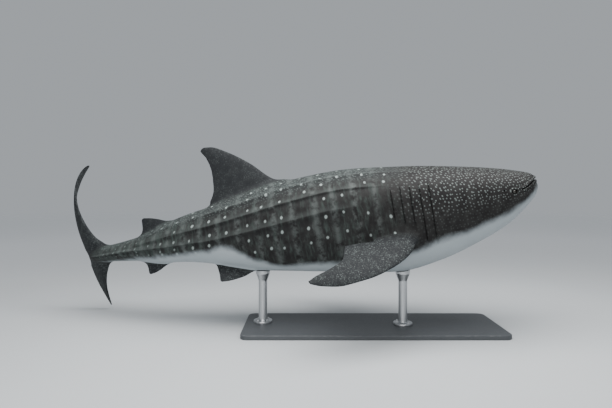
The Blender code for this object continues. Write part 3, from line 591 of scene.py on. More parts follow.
def atlas_room(size):
    """Corner of a free place on the atlas, on the first shelf above the body's field that has room."""
    width, height = size * ATLAS_FIN_SCALE + ATLAS_EDGE
    for shelf in ATLAS_SHELVES:
        if shelf[0] + width <= 1 and height <= shelf[2]:
            break
    else:
        top = ATLAS_BODY + ATLAS_EDGE + sum(shelf[2] for shelf in ATLAS_SHELVES)
        shelf = [ATLAS_EDGE, top, height]
        ATLAS_SHELVES.append(shelf)
    shelf[0] += width
    return np.array([shelf[0] - width, shelf[1]])


def fin_mesh(name, plan, side):
    """Straight fin from its root sunk in the body to its thin tip, with the share of the chord, the
    share of the span and the face of each point."""
    length, lead = fin_margin(plan["lead"])
    spans = int(length / FIN_GRAIN)
    turn = np.radians(FIN_TIP_TURNS)
    at = np.concatenate([np.linspace(0, 1, spans + 1), 1 + np.sin(turn)])
    inside = np.minimum(at, 1)
    front, rear = lead(inside), fin_margin(plan["trail"])[1](inside)
    wave = 0.0012 * np.sin(at * length * 19 + side) + 0.0008 * np.sin(at * length * 47 + 2 * side)
    chord_way = (rear - front) / np.linalg.norm(rear - front, axis=1, keepdims=True)
    rear = rear + chord_way * (wave * ramp(0.25, 0.4, at))[:, None]
    cut = rear[-1] - front[-1]
    tip_way = (front + rear)[spans] - (front + rear)[spans - 3]
    tip_way -= cut * (tip_way @ cut) / (cut @ cut)
    tip_way /= np.linalg.norm(tip_way)
    beyond = (np.clip(at - 1, 0, 1) ** 2)[:, None] * np.linalg.norm(cut) * 0.16
    shrink = np.concatenate([np.ones(spans + 1), np.cos(turn)])[:, None]
    centre = (front + rear) / 2 + tip_way * beyond
    front, rear = centre + (front - rear) / 2 * shrink, centre + (rear - front) / 2 * shrink
    across = rear - front
    normal = np.cross(across, np.gradient(centre, axis=0))
    normal /= np.linalg.norm(normal, axis=1, keepdims=True)
    normal[spans + 1:] = normal[spans]
    share = (0.5 * (1 - np.cos(np.pi * np.arange(FIN_CHORDS + 1) / FIN_CHORDS))) ** 1.15
    form = 2.6 * np.sqrt(share) * (1 - share) + 0.28 * share
    thickness = curve_through(plan["thick"])(inside) * shrink[:, 0]
    least = np.minimum(plan["edge"] / 2, np.linalg.norm(across, axis=1) * 0.2)
    half = np.maximum(np.outer(thickness / 2, form / form.max()), least[:, None])
    half[:, 0] = 0
    middle = front[:, None] + across[:, None] * share[:, None]
    lift = normal[:, None] * half[..., None]
    rings = np.concatenate([middle + lift, (middle - lift)[:, :0:-1]], axis=1)
    spanwise = np.concatenate([[0], np.cumsum(np.linalg.norm(np.diff(front, axis=0), axis=1))])
    foremost = -front[:, 0].max()
    size = np.array([-rear[:, 0].min() - foremost, spanwise[-1]])
    rooms = atlas_room(size), atlas_room(size)

    def atlas_place(ring, row, tip):
        column = np.where(row <= FIN_CHORDS, row, 2 * FIN_CHORDS + 1 - row)
        lower = (row > FIN_CHORDS).any(axis=1, keepdims=True)[..., None]
        where = -front[ring, 0] - across[ring, 0] * share[column]
        spot = np.stack([where - foremost, spanwise[ring]], axis=-1)
        return spot * ATLAS_FIN_SCALE + np.where(lower, rooms[1], rooms[0])

    mesh = hide_mesh(name, rings * [1, side, 1], atlas_place)
    rows = np.concatenate([share, share[:0:-1]])
    marks = np.stack(np.broadcast_arrays(rows, inside[:, None], np.arange(len(rows)) > FIN_CHORDS), axis=-1)
    return mesh, with_ends(marks)


def fillet(near, radius):
    """Rise of a rounded corner at a distance from the other face, up to the corner's middle."""
    middle = radius * (1 - math.sqrt(0.5))
    far = np.clip(near, middle, radius)
    arc = radius - np.sqrt(np.maximum(radius ** 2 - (radius - far) ** 2, 0))
    return np.where(near >= radius, 0, arc + np.maximum(middle - near, 0) * 0.5)


def read_points(mesh):
    """Points and outward directions of a mesh."""
    return read_numbers(mesh.vertices, "co").T, read_numbers(mesh.vertex_normals, "vector").T


def flare_root(body, fin, radius):
    """Rise of the body and new points of a fin that round the corner between them."""
    body_points = read_points(body)[0]
    fin_points, fin_out = read_points(fin)
    body_faces, fin_faces = [BVHTree.FromPolygons(points.tolist(), [f.vertices[:] for f in mesh.polygons])
                             for points, mesh in ((body_points, body), (fin_points, fin))]
    loop = 2 * FIN_CHORDS + 1

    def rise_at(far, row):
        share = min(row, loop - row) / FIN_CHORDS
        return fillet(far, radius * (1 - 0.8 * share ** 3))

    lift, rise = np.zeros((len(fin_points), 1)), np.zeros(len(body_points))
    rooted = []
    for i, point in enumerate(fin_points[:-2]):
        place, out, _, far = body_faces.find_nearest(Vector(point), radius * 1.2)
        if place is not None:
            inside = (Vector(point) - place).dot(out) < 0
            lift[i] = rise_at(0.0 if inside else far, i % loop)
            if far < 0.05:
                rooted.append(point)
    low, high = np.min(rooted, axis=0) - radius, np.max(rooted, axis=0) + radius
    for i in np.flatnonzero(((body_points > low) & (body_points < high)).all(axis=1)):
        place, _, face, far = fin_faces.find_nearest(Vector(body_points[i]), radius)
        if place is not None:
            rise[i] = rise_at(far, face % loop)
    return rise, fin_points + fin_out * lift


def write_points(mesh, points):
    mesh.vertices.foreach_set("co", np.asarray(points, np.float32).ravel())
    mesh.update()


def new_thing(name, mesh):
    thing = bpy.data.objects.new(name, mesh)
    bpy.context.scene.collection.objects.link(thing)
    return thing


def joined(base, extras):
    """Applies a union of closed meshes to the first one."""
    group = bpy.data.collections.new("fins")
    for extra in extras:
        group.objects.link(extra)
    cut = base.modifiers.new("fins", "BOOLEAN")
    cut.operation = "UNION"
    cut.operand_type = "COLLECTION"
    cut.collection = group
    cut.solver = "MANIFOLD"
    graph = bpy.context.evaluated_depsgraph_get()
    mesh = bpy.data.meshes.new_from_object(base.evaluated_get(graph))
    base.modifiers.clear()
    base.data = mesh
    for extra in extras:
        bpy.data.objects.remove(extra)
    bpy.data.collections.remove(group)


def blurred(mesh, values, passes, pull=0.6):
    """Values at the points of a mesh, each pulled towards its neighbours a number of times."""
    one, two, links = neighbours_of(mesh)
    for _ in range(passes):
        around = np.bincount(one, values[two], len(values)) + np.bincount(two, values[one], len(values))
        values = values + (around / links - values) * pull
    return values


def soften_roots(mesh, rings, passes):
    """Smooths the skin where the fins leave the body, most at the line where they meet."""
    kind = read_marks(mesh, "hide_marks")[2]
    one, two, _ = neighbours_of(mesh)
    crossing = np.abs(kind[one] - kind[two]) > 0.2
    weight = np.zeros(len(kind))
    weight[one[crossing]] = weight[two[crossing]] = 1
    for _ in range(rings):
        spread = weight - 1 / rings
        np.maximum.at(weight, one, spread[two])
        np.maximum.at(weight, two, spread[one])
    pull = np.minimum(weight * 1.5, 1) * 0.6
    points = read_points(mesh)[0].T
    write_points(mesh, np.stack([blurred(mesh, column, passes, pull) for column in points], axis=1))


def neighbours_of(mesh):
    """Ends of all edges of a mesh, and how many edges each point has."""
    pairs = np.empty(len(mesh.edges) * 2, np.int32)
    mesh.edges.foreach_get("vertices", pairs)
    one, two = pairs.reshape(-1, 2).T
    return one, two, np.maximum(np.bincount(pairs, minlength=len(mesh.vertices)), 1)


def mend_marks(mesh):
    """Gives the new points along the roots of the fins the marks of the body beside them."""
    points = read_points(mesh)[0]
    marks, place = read_marks(mesh, "hide_marks"), read_marks(mesh, "hide_place")
    new = np.abs(place).sum(axis=0) < 1e-9
    body = np.flatnonzero(~new & (marks[2] == 0))
    tree = KDTree(len(body))
    for i in body:
        tree.insert(points[i], i)
    tree.balance()
    nearest = [tree.find(points[i])[1] for i in np.flatnonzero(new)]
    for name, values in (("hide_marks", marks), ("hide_place", place)):
        values[:, new] = values[:, nearest]
        add_marks(mesh, name, *values)


def whole_hide():
    """Skin of the whole animal, bent into its pose."""
    body = body_mesh()
    rise = np.zeros(len(body.vertices))
    fins = []
    for name in LONGEST_FIRST:
        for side, word in ((1, "_left"), (-1, "_right")) if name in PAIRED else ((1, ""),):
            mesh, (chord, span, under) = fin_mesh(name + word, FINS[name], side)
            rise_here, points = flare_root(body, mesh, FINS[name]["fillet"])
            rise = np.maximum(rise, rise_here)
            write_points(mesh, points)
            kind = [name.startswith(start) for start, _ in FIN_KINDS].index(True)
            add_marks(mesh, "hide_marks", chord, span, kind + 1)
            add_marks(mesh, "hide_place", -points[:, 0], FIN_KINDS[kind][1], under)
            fins.append(new_thing(name + word, mesh))
    points, out = read_points(body)
    write_points(body, points + out * rise[:, None])
    hide = new_thing("whale_shark_skin", body)
    joined(hide, fins)
    mend_marks(hide.data)
    soften_roots(hide.data, 12, 50)
    straight, out = read_points(hide.data)
    add_marks(hide.data, "straight", *straight.T)
    add_marks(hide.data, "straight_out", *out.T)
    write_points(hide.data, posed(straight))
    hide.data.shade_smooth()
    return hide


skin = whole_hide()


def fill_inputs(node, values):
    """Sets inputs of a shader node to numbers or colours, or feeds varying values to them."""
    for place, value in values.items():
        if isinstance(value, Field):
            value.tree.links.new(value.socket, node.inputs[place])
        else:
            node.inputs[place].default_value = value


class Field:
    """Value that varies over a surface, with arithmetic that adds the nodes of a finish."""

    def __init__(self, tree, socket=None):
        self.tree = tree
        self.socket = socket

    def node(self, kind, settings, values, output=0):
        made = self.tree.nodes.new(kind)
        for word, value in settings.items():
            setattr(made, word, value)
        fill_inputs(made, values)
        return Field(self.tree, made.outputs[output])

    def maths(self, operation, *values):
        return self.node("ShaderNodeMath", {"operation": operation}, dict(enumerate(values)))

    def __add__(self, other):
        return self.maths("ADD", self, other)

    def __sub__(self, other):
        return self.maths("SUBTRACT", self, other)

    def __rsub__(self, other):
        return self.maths("SUBTRACT", other, self)

    def __mul__(self, other):
        return self.maths("MULTIPLY", self, other)

    def __abs__(self):
        return self.maths("ABSOLUTE", self)

    __radd__ = __add__
    __rmul__ = __mul__

    def larger(self, other):
        return self.maths("MAXIMUM", self, other)

    def step(self, low, high):
        """Smooth step from 0 at low to 1 at high."""
        return self.node("ShaderNodeMapRange", {"interpolation_type": "SMOOTHSTEP"},
                         {"Value": self, "From Min": low, "From Max": high})

    def pick(self, one, two):
        """Colour one where this is 0, and colour two where it is 1."""
        return self.node("ShaderNodeMix", {"data_type": "RGBA"}, {"Factor": self, 6: one, 7: two}, 2)

    def axis(self, number):
        return self.node("ShaderNodeSeparateXYZ", {}, {0: self}, number)

    def beside(self, other):
        """Place on a plane with this and another value as its two directions."""
        return self.node("ShaderNodeCombineXYZ", {}, {0: self, 1: other})

    def scaled(self, x, y, z):
        return self.node("ShaderNodeVectorMath", {"operation": "MULTIPLY"}, {0: self, 1: (x, y, z)})

    def length(self):
        return self.node("ShaderNodeVectorMath", {"operation": "LENGTH"}, {0: self}, 1)

    def stored(self, name):
        """Three numbers that are stored on the mesh."""
        return self.node("ShaderNodeAttribute", {"attribute_name": name}, {}, 1)

    def here(self):
        """Place on the object."""
        return self.node("ShaderNodeTexCoord", {}, {}, 3)

    def bump(self, distance):
        """Small unevenness of the surface, with this as its height."""
        return self.node("ShaderNodeBump", {}, {"Strength": 1.0, "Distance": distance, "Height": self})

    def noise(self, scale, detail=3.0, roughness=0.5):
        """Cloudy noise between about 0.2 and 0.8, read at this place."""
        return self.node("ShaderNodeTexNoise", {}, {"Vector": self, "Scale": scale, "Detail": detail,
                                                    "Roughness": roughness})

    def cells(self, scale, randomness, dimensions="3D", output=0):
        """Distances or colours of scattered cells, read at this place."""
        return self.node("ShaderNodeTexVoronoi", {"voronoi_dimensions": dimensions},
                         {"Vector": self, "Scale": scale, "Randomness": randomness}, output)


def new_finish(name, thing):
    """New finish of an object: a field to start its values from, and its shader node."""
    finish = bpy.data.materials.new(name)
    finish.use_nodes = True
    if thing.material_slots:
        thing.material_slots[0].material = finish
    else:
        thing.data.materials.append(finish)
    return Field(finish.node_tree), finish.node_tree.nodes["Principled BSDF"]


# Spots and the edge of the belly lie at metres from the nose and degrees from the back.
SPOT_COLUMNS = (1.97, 2.26, 2.55, 2.80, 3.05, 3.36, 3.57, 3.79, 4.10, 4.36, 4.62, 4.87, 5.10, 5.32, 5.53,
                5.73, 5.92, 6.10, 6.27)
SPOT_ROWS = (17, 37, 58, 80, 100, 116)
SPOT_ROW_DRIFT = ((1.9, -4), (2.2, -5), (2.5, -10), (2.8, -8), (3.3, 0))
SPOT_SIZE = (0.013, 0.018)
SPOT_STRETCH = 0.8
SPOT_SKIPPED = 0.12
NO_MARK = 0.2
ROOT_BLUR = 20
DOT_POLE = 0.04
CHIN_BAND = 0.09
DEGREE_ARC = 0.013
BELLY_EDGE = ((0.0, 104), (0.12, 109), (0.23, 114), (0.5, 119), (0.95, 121), (1.3, 123), (1.62, 126),
              (2.1, 133), (2.58, 139), (3.2, 143), (3.5, 143), (3.8, 128), (4.1, 107), (4.35, 94), (4.8, 90),
              (7, 88.5))


def dot_places(along, around, angle, trunk):
    """Unrolls the skin so that the small spots stay round and get finer towards the nose."""
    flanks = trunk & (np.abs(angle) > 60) & (np.abs(angle) < 120)
    step = 0.02
    place = (along[flanks] / step).astype(int)
    radius = np.abs(around[flanks]) / np.radians(np.abs(angle[flanks]))
    total, count = np.bincount(place, radius), np.bincount(place)
    found = np.flatnonzero(count)
    at = np.arange(len(count)) * step + step / 2
    radius = np.interp(at, at[found], total[found] / count[found])
    radius = np.maximum(np.convolve(np.pad(radius, 3, "edge"), np.ones(7) / 7, "valid"), DOT_POLE)
    return np.interp(along, at, np.cumsum(step / radius)), around / np.interp(along, at, radius)


def paint_marks(mesh):
    """Where the large pale spots and the pale belly lie, and the painted shade in the slits, for the finish
    to read.
    """
    along, around, kind = read_marks(mesh, "hide_marks")
    station, angle, height = read_marks(mesh, "hide_place")
    chance = np.random.default_rng(41)
    trunk = kind == 0
    girth = np.abs(around) / np.maximum(np.abs(angle), 1)
    nearest = np.full(len(kind), NO_MARK)
    for side in (1, -1):
        for column in SPOT_COLUMNS:
            here = trunk & (np.abs(station - column) < 0.4)
            for row in SPOT_ROWS:
                where = column + chance.normal(0, 0.014)
                turn = row + chance.normal(0, 1.5) + line_through(SPOT_ROW_DRIFT, column) * (row > 50)
                size = chance.uniform(*SPOT_SIZE) * (1 - 0.45 * ramp(4.6, 6.2, column))
                size -= NO_MARK * (chance.random() < SPOT_SKIPPED)
                off = np.hypot(station[here] - where, (angle[here] - side * turn) * DEGREE_ARC)
                arc = (around[here] - around[here][off.argmin()]) * SPOT_STRETCH
                nearest[here] = np.minimum(nearest[here], np.hypot(station[here] - where, arc) - size)
    s = station / TOTAL_LENGTH
    below_mouth = flank(s) * TOTAL_LENGTH - read_marks(mesh, "straight")[2]
    pale = np.minimum((np.abs(angle) - line_through(BELLY_EDGE, station)) * girth, below_mouth - CHIN_BAND)
    pale = np.clip(np.where(trunk, pale, -NO_MARK), -NO_MARK, NO_MARK)
    fin_share = blurred(mesh, 1.0 - trunk, FIN_BLEND_PASSES)
    pale += (blurred(mesh, pale, ROOT_BLUR) - pale) * (4 * fin_share * (1 - fin_share))
    # Painted shade: the skin darker the deeper it lies in the slits of the gills and the mouth.
    slit = np.where(trunk, np.clip(-(height + 0.007) / 0.008, 0, 1), 0)
    add_marks(mesh, "hide_paint", np.clip(-nearest, -NO_MARK, NO_MARK), pale, slit)
    middles = (np.array(SPOT_COLUMNS[1:]) + np.array(SPOT_COLUMNS[:-1])) / 2
    bar = np.abs(station[:, None] - middles).min(axis=1)
    # Painted light on the ridges: a painted highlight along the upper side of each crest, and painted shade
    # under it.
    under = painted_crest_highlight = np.zeros(len(kind))
    for ridge in RIDGES:
        rise = np.minimum(curve_through(ridge["crest"])(s) / 0.018, 1) * trunk
        past = (np.abs(angle) - line_through(ridge["angle"], s)) * girth
        shadow = rise * ramp(-0.004, 0.020, past) * (1 - ramp(0.03, 0.17, past))
        under = np.maximum(under, shadow * (1 - 0.7 * ramp(4.2, 4.8, station)))
        # Painted highlight just above each ridge crest.
        light = rise * ramp(-0.11, -0.012, past) * (1 - ramp(-0.010, 0.006, past))
        painted_crest_highlight = np.maximum(painted_crest_highlight, light)
    add_marks(mesh, "hide_bands", bar, under, painted_crest_highlight)
    facing = ramp(0.60, 0.80, read_marks(mesh, "straight_out")[0]) * (station < 0.6)
    add_marks(mesh, "hide_dots", *dot_places(along, around, angle, trunk), facing)
    add_marks(mesh, "hide_fins", fin_share, 0, 0)


paint_marks(skin.data)


def hide_finish():
    """Painted skin: grey-brown back with pale spots in columns, dense small spots on head and fins, a pale
    belly,
    and painted light: a paler upper back and ridge crests, painted shade under the ridges and in the slits."""
    start, surface = new_finish("painted_hide", skin)
    marks, place, paint, bands, dots, straight = [start.stored(name) for name in (
        "hide_marks", "hide_place", "hide_paint", "hide_bands", "hide_dots", "straight")]
    fin = start.stored("hide_fins").axis(0)
    station = place.axis(0)
    turn = abs(place.axis(1))
    trunk = station.step(1.5, 2.3) * station.step(6.75, 6.2) * (1 - fin)

    cloud = straight.noise(1.7, 3.0)
    mottle = straight.noise(9.0, 5.0, 0.62)
    grain = straight.noise(55.0, 3.0, 0.7)
    streak = straight.scaled(24.0, 6.0, 6.0).noise(1.0, 4.0, 0.6)

    # Upper back: where the small back dots lie, and where sunlight is painted as a paler back.
    upper_back_and_painted_sunlight = (1 - turn.step(30.0, 60.0)) * trunk
    dark = mottle.step(0.3, 0.75).pick((0.013, 0.012, 0.012, 1), (0.027, 0.027, 0.026, 1))
    dark = (fin * 0.6).pick(dark, (0.019, 0.022, 0.025, 1))
    tail = station.step(4.2, 5.4) * (1 - fin)
    streaks = streak.step(0.45 - 0.08 * tail, 0.75 - 0.12 * tail)
    dark = (streaks * 0.7 * trunk).pick(dark, (0.056, 0.072, 0.065, 1))
    # Painted sunlight: the upper back paler, as if lit from above.
    dark = (upper_back_and_painted_sunlight * 0.5).pick(dark, (0.042, 0.050, 0.050, 1))
    # Painted highlight along the upper side of each ridge crest.
    dark = (bands.axis(2) * 0.40).pick(dark, (0.064, 0.074, 0.071, 1))
    # Painted shade under each ridge.
    dark = (bands.axis(1) * 0.5).pick(dark, (0.007, 0.007, 0.008, 1))
    bar = (bands.axis(0) + (streak - 0.5) * 0.16).step(0.070, 0.0) * trunk * mottle.step(0.38, 0.60)

    ragged = (grain - 0.5) * 0.010 + (mottle - 0.5) * 0.008
    big = (paint.axis(0) + ragged).step(-0.008, 0.006) * (0.66 - 0.36 * tail)
    flat = marks.axis(0).beside(marks.axis(1))
    head = (1 - station.step(1.40, 2.05)) * (1 - turn.step(88.0, 106.0) * 0.85) * (1 - fin)
    sides = dots.axis(0).beside(dots.axis(1))
    front = straight.axis(1).beside(straight.axis(2))
    size_chance = sides.cells(12.5, 0.7, dimensions="2D", output=1).axis(0)
    side_far = sides.cells(12.5, 0.7, dimensions="2D")
    small_far = side_far + (front.cells(31.0, 0.7, dimensions="2D") - side_far) * dots.axis(2)
    small_far = small_far + (grain - 0.5) * 0.16 + (size_chance - 0.5) * 0.12
    small = small_far.step(0.26, 0.12) * head * (0.26 + 0.14 * size_chance) * (1 - paint.axis(2))
    back_far = flat.cells(24.0, 0.9, dimensions="2D") + (grain - 0.5) * 0.30
    back_dots = back_far.step(0.32, 0.10) * upper_back_and_painted_sunlight * 0.22
    short = straight.noise(13.0, 1.0).step(0.47, 0.58)
    worms = abs(straight.noise(34.0, 1.0) - 0.5).step(0.07, 0.0) * short
    flecks = straight.cells(34.0, 1.0).step(0.30, 0.12)
    fine_flecks = straight.cells(52.0, 1.0).step(0.34, 0.14) * 0.6
    fin_marks = (worms * 0.40).larger(flecks).larger(fine_flecks) * mottle.step(0.26, 0.56)
    fin_marks = fin_marks * fin * (0.09 + 0.16 * marks.axis(2).step(1.1, 1.9))
    pale_share = big.larger(small).larger(fin_marks).larger(back_dots).larger(bar * 0.12)
    colour = pale_share.pick(dark, mottle.pick((0.30, 0.35, 0.33, 1), (0.45, 0.51, 0.49, 1)))

    wander = 0.03 + 0.17 * station.step(0.3, 1.6) - 0.16 * station.step(3.9, 4.7)
    ragged_edge = (mottle - 0.5) * 0.07 + (cloud - 0.5) * wander
    belly_share = (paint.axis(1) + ragged_edge).step(-0.06 + 0.045 * station.step(3.9, 4.7), 0.09)
    colour = belly_share.pick(colour, cloud.pick((0.31, 0.35, 0.37, 1), (0.43, 0.47, 0.49, 1)))
    # Painted shade deep in the gill and mouth slits.
    colour = (paint.axis(2) * 0.50).pick(colour, (0.006, 0.006, 0.006, 1))
    fill_inputs(surface, {"Base Color": colour, "Metallic": 0.0, "Roughness": 0.55 + mottle * 0.22,
                          "Specular IOR Level": 0.14, "Normal": (grain * 0.6 + mottle * 0.4).bump(0.0028)})


hide_finish()
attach(skin, "root")
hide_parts("head", "lower_jaw", "gill_shoulders", "trunk_front", "trunk_rear", "tail_base",
            "tail_stalk", "caudal_fin_upper", "caudal_fin_lower", "dorsal_fin_first", "dorsal_fin_second",
            "anal_fin", "pectoral_fin_left", "pectoral_fin_right", "pelvic_fin_left", "pelvic_fin_right")


# Eyes of the whale shark: small dark balls of polished resin with a ring of grey iris round the
# pupil, set into the sockets of the hide a little behind the corners of the mouth.
CORNEA_RISE = 0.0022
EYE_RINGS = 48
EYE_SPOKES = 72


def circles(radii, heights, spokes, middle=(0, 0)):
    """Level rings of points; a radius or a height may also be given for each point of a ring."""
    spoke = np.linspace(0, 2 * math.pi, spokes, endpoint=False)
    radii, heights = [np.reshape(values, (len(values), -1)) for values in (radii, heights)]
    return np.stack(np.broadcast_arrays(middle[0] + radii * np.cos(spoke), middle[1] + radii * np.sin(spoke),
                                        heights), axis=-1)


polar = np.linspace(0, math.pi, EYE_RINGS + 1)[1:-1]
reach = EYE_RADIUS + CORNEA_RISE * (1 - ramp(0.30, 0.62, polar))
ball_points, ball_faces = closed_tube(circles(reach * np.sin(polar), reach * np.cos(polar), EYE_SPOKES))
ball_points[-2:] = (0, 0, EYE_RADIUS + CORNEA_RISE), (0, 0, -EYE_RADIUS)

for side, word in ((1, "left"), (-1, "right")):
    node = "eye_" + word
    mesh = new_mesh("whale_shark_" + node, ball_points, [faces[:, ::-1] for faces in ball_faces])
    add_marks(mesh, "eye_place", *(ball_points / EYE_RADIUS).T)
    point, out, _, _ = straight_axes(EYE_STATION, EYE_ANGLE)
    here = posed(np.array([point, point + out * 0.1]) * [1, side, 1])
    turn = Vector((0, 0, 1)).rotation_difference(Vector(here[1] - here[0]).normalized())
    low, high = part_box(node)
    mesh.transform(Matrix.LocRotScale((Vector(low) + Vector(high)) / 2, turn, None))
    mesh.shade_smooth()
    ball = new_thing("whale_shark_" + node, mesh)
    start, surface = new_finish("eye_glass_" + word, ball)
    flat = start.stored("eye_place")
    off = flat.scaled(1, 1, 0).length()
    iris = flat.noise(9.0, 4.0).pick((0.014, 0.013, 0.010, 1), (0.060, 0.054, 0.042, 1))
    colour = off.step(0.30, 0.34).pick((0.002, 0.002, 0.002, 1), iris)
    colour = off.step(0.54, 0.64).pick(colour, (0.008, 0.008, 0.009, 1))
    fill_inputs(surface, {"Base Color": colour, "Metallic": 0.0, "Roughness": 0.2, "Specular IOR Level": 0.25,
                          "Coat Weight": 0.35, "Coat Roughness": 0.03})
    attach(ball, "root")
    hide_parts(node)


# Display stand: a flat base plate of painted steel, and two short turned steel rods, each bolted
# down by its flange, with a rubber pad under the belly. The rings of a rod are given by their radius
# and their height: over its foot, from the belly over its middle, and from the belly over each point.
PLATE_CORNER = 0.10
PLATE_CORNER_POINTS = 13
PLATE_ROUND = 0.012
ROD_SPOKES = 96
ROD_FOOT = ((0.128, 0), (0.130, 0.002), (0.130, 0.024), (0.128, 0.028), (0.124, 0.030), (0.074, 0.030),
            (0.066, 0.033), (0.062, 0.039), (0.060, 0.048))
ROD_CONE = ((0.060, -0.156), (0.061, -0.147), (0.064, -0.138), (0.094, -0.058), (0.098, -0.050),
            (0.0988, -0.042))
ROD_PAD = ((0.0988, -0.014), (0.100, -0.014), (0.100, -0.002), (0.098, -0.0005), (0.075, -0.0005),
           (0.050, -0.0005), (0.025, -0.0005))
BOLT_CIRCLE = 0.096
BOLT_SPOKES = 24
BOLT_ROUND = ((0.019, 0.030), (0.019, 0.033))
BOLT_HEXAGON = ((0.016, 0.033), (0.016, 0.043), (0.0145, 0.0445))


def stand_piece(name, node, tubes, coated):
    """One piece of the stand from closed stacks of rings, standing for a node; coated tells which
    points of the first stack are worn or of rubber."""
    points, faces = [], []
    for rings in tubes:
        tube_points, groups = closed_tube(rings)
        faces += [group + sum(map(len, points)) for group in groups]
        points.append(tube_points)
    mesh = new_mesh(name, np.vstack(points), faces)
    add_marks(mesh, "stand_marks", np.pad(coated, (0, len(mesh.vertices) - len(coated))), 0, 0)
    mesh.shade_smooth()
    mesh.set_sharp_from_angle(angle=math.radians(38))
    thing = new_thing(name, mesh)
    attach(thing, "root")
    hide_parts(node)
    return thing


def plate_ring(half, inset, height):
    """Outline of the base plate with its rounded corners, drawn in by an inset, at a height."""
    quarter = np.repeat(np.arange(4), PLATE_CORNER_POINTS) * math.pi / 2
    turn = quarter + np.tile(np.linspace(0, math.pi / 2, PLATE_CORNER_POINTS), 4)
    x, y = [np.sign(wave(quarter + math.pi / 4)) * (end - PLATE_CORNER) + (PLATE_CORNER - inset) * wave(turn)
            for wave, end in ((np.cos, half[0]), (np.sin, half[1]))]
    return np.stack([x, y, 0 * x + height], axis=-1)


low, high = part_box("stand_base")
bend = np.linspace(0, math.pi / 2, 6)
insets = [0.002, 0, *(PLATE_ROUND * (1 - np.cos(bend))), PLATE_ROUND * 1.8]
heights = [low[2], low[2] + 0.002, *(high[2] - PLATE_ROUND * (1 - np.sin(bend))), high[2]]
plate_rings = [plate_ring(high, inset, height) for inset, height in zip(insets, heights)]
height = closed_tube(plate_rings)[0][:, 2]
plate = stand_piece("stand_base_plate", "stand_base", [plate_rings],
                    (height > high[2] - PLATE_ROUND * 0.9) & (height < high[2] - 0.0002))
start, surface = new_finish("stand_base_paint", plate)
spot_at = start.here()
edge = start.stored("stand_marks").axis(0)
paint = spot_at.noise(6.0, 4.0).pick((0.050, 0.055, 0.060, 1), (0.062, 0.067, 0.072, 1))
worn = (edge * spot_at.noise(14.0, 5.0, 0.65).step(0.50, 0.66)) * 0.6
fill_inputs(surface, {"Base Color": worn.pick(paint, (0.16, 0.165, 0.17, 1)), "Metallic": 0.0,
                      "Roughness": 0.42 + spot_at.noise(40.0, 2.0) * 0.12,
                      "Normal": spot_at.noise(220.0, 2.0).bump(0.0006)})

hide_faces = BVHTree.FromPolygons([v.co for v in skin.data.vertices],
                                  [f.vertices[:] for f in skin.data.polygons])


def belly_over(place):
    """Height of the skin over a point of the floor."""
    return hide_faces.ray_cast(Vector((place[0], place[1], PLATE_ROUND)), Vector((0, 0, 1)))[0].z


for rod in ("stand_rod_front", "stand_rod_rear"):
    low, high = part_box(rod)
    middle = np.array([low[0] + high[0], low[1] + high[1]]) / 2
    parts = []
    for profile, level in ((ROD_FOOT, lambda place: low[2]), (ROD_CONE, lambda place: belly_over(middle)),
                           (ROD_PAD, belly_over)):
        part = circles(*np.array(profile).T, ROD_SPOKES, middle)
        part[..., 2] += [[level(place) for place in ring] for ring in part]
        parts.append(part)
    rings = np.concatenate(parts)
    coated = np.arange(len(rings) * ROD_SPOKES + 2) >= (len(rings) - len(ROD_PAD) + 1) * ROD_SPOKES
    coated[-2] = False
    tubes = [rings]
    for turn in np.radians((45, 135, 225, 315)):
        corner = np.linspace(0, 2 * math.pi, BOLT_SPOKES, endpoint=False) + turn
        hexagon = math.cos(math.pi / 6) / np.cos(corner % (math.pi / 3) - math.pi / 6)
        radii, heights = np.array(BOLT_ROUND + BOLT_HEXAGON).T
        radii = np.repeat(radii[:, None], BOLT_SPOKES, axis=1)
        radii[len(BOLT_ROUND):] *= hexagon
        bolt_at = middle + BOLT_CIRCLE * np.array([math.cos(turn), math.sin(turn)])
        tubes.append(circles(radii, low[2] + heights, BOLT_SPOKES, bolt_at))
    piece = stand_piece(rod + "_turned", rod, tubes, coated)
    start, surface = new_finish(rod + "_steel", piece)
    spot_at = start.here()
    pad = start.stored("stand_marks").axis(0).step(0.4, 0.6)
    streak = spot_at.scaled(90, 90, 1.5).noise(4.0, 3.0)
    steel = streak.pick((0.42, 0.43, 0.44, 1), (0.58, 0.59, 0.60, 1))
    fill_inputs(surface, {"Base Color": pad.pick(steel, (0.012, 0.012, 0.013, 1)), "Metallic": 1 - pad,
                          "Roughness": 0.26 + streak * 0.16 + pad * 0.35, "Normal": streak.bump(0.0001)})
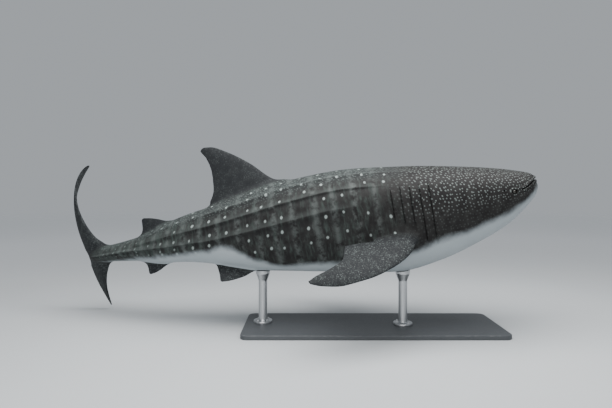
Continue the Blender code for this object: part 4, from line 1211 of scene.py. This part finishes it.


# Studio round the model: a wide pale floor, painted paler further out to make up for the weaker light
# there, that fades into the pale air far behind every view, a broad soft light over the animal, a fill
# from the camera's side, and the camera.
FLOOR_RINGS = (3.0, 6.0, 12.0, 24.0, 48.0, 60.0)
FLOOR_FADE = (13.0, 46.0)
FLOOR_PAINTED_LIGHT = (4.0, 16.0)

floor_points, floor_faces = closed_tube(circles(FLOOR_RINGS, np.zeros(len(FLOOR_RINGS)), 64))
floor = new_thing("studio_floor", new_mesh("studio_floor", floor_points[:-1],
                                           [faces[:, ::-1] for faces in floor_faces[:2]]))
start, surface = new_finish("pale_floor", floor)
spot_at = start.here()
far = spot_at.length()
near_paint = spot_at.noise(0.6, 3.0).pick((0.52, 0.54, 0.55, 1), (0.56, 0.58, 0.59, 1))
# Painted light: the floor painted paler further out, where less light falls on it.
colour = far.step(*FLOOR_PAINTED_LIGHT).pick(near_paint, (0.93, 0.94, 0.95, 1))
fill_inputs(surface, {"Base Color": colour, "Metallic": 0.0, "Roughness": 0.7,
                      "Alpha": far.step(FLOOR_FADE[1], FLOOR_FADE[0])})

for name, place, target, size, power in (
        ("light_over", (0.0, -1.5, 6.5), (-0.5, 0.4, 1.4), (9.0, 4.5), 1000),
        ("light_front", (-2.0, -9.0, 3.0), (-0.9, 0.0, 1.4), (7.0, 3.0), 260)):
    light = bpy.data.lights.new(name, "AREA")
    light.shape = "RECTANGLE"
    light.size, light.size_y = size
    light.energy = power
    thing = new_thing(name, light)
    thing.location = place
    thing.rotation_euler = (Vector(target) - Vector(place)).to_track_quat("-Z", "Y").to_euler()
    thing.visible_camera = False

world = bpy.data.worlds.new("studio_air")
world.use_nodes = True
air = world.node_tree.nodes["Background"]
air.inputs[0].default_value = (0.62, 0.66, 0.70, 1)
air.inputs[1].default_value = 0.62
bpy.context.scene.world = world

lens = bpy.data.cameras.new("photo_camera")
lens.lens = 28
lens.sensor_width = 36
lens.shift_y = -14 / 612
camera = new_thing("photo_camera", lens)
camera.location = (-0.9, -6.6, 1.91)
camera.rotation_euler = (math.radians(90), 0, 0)
bpy.context.scene.camera = camera
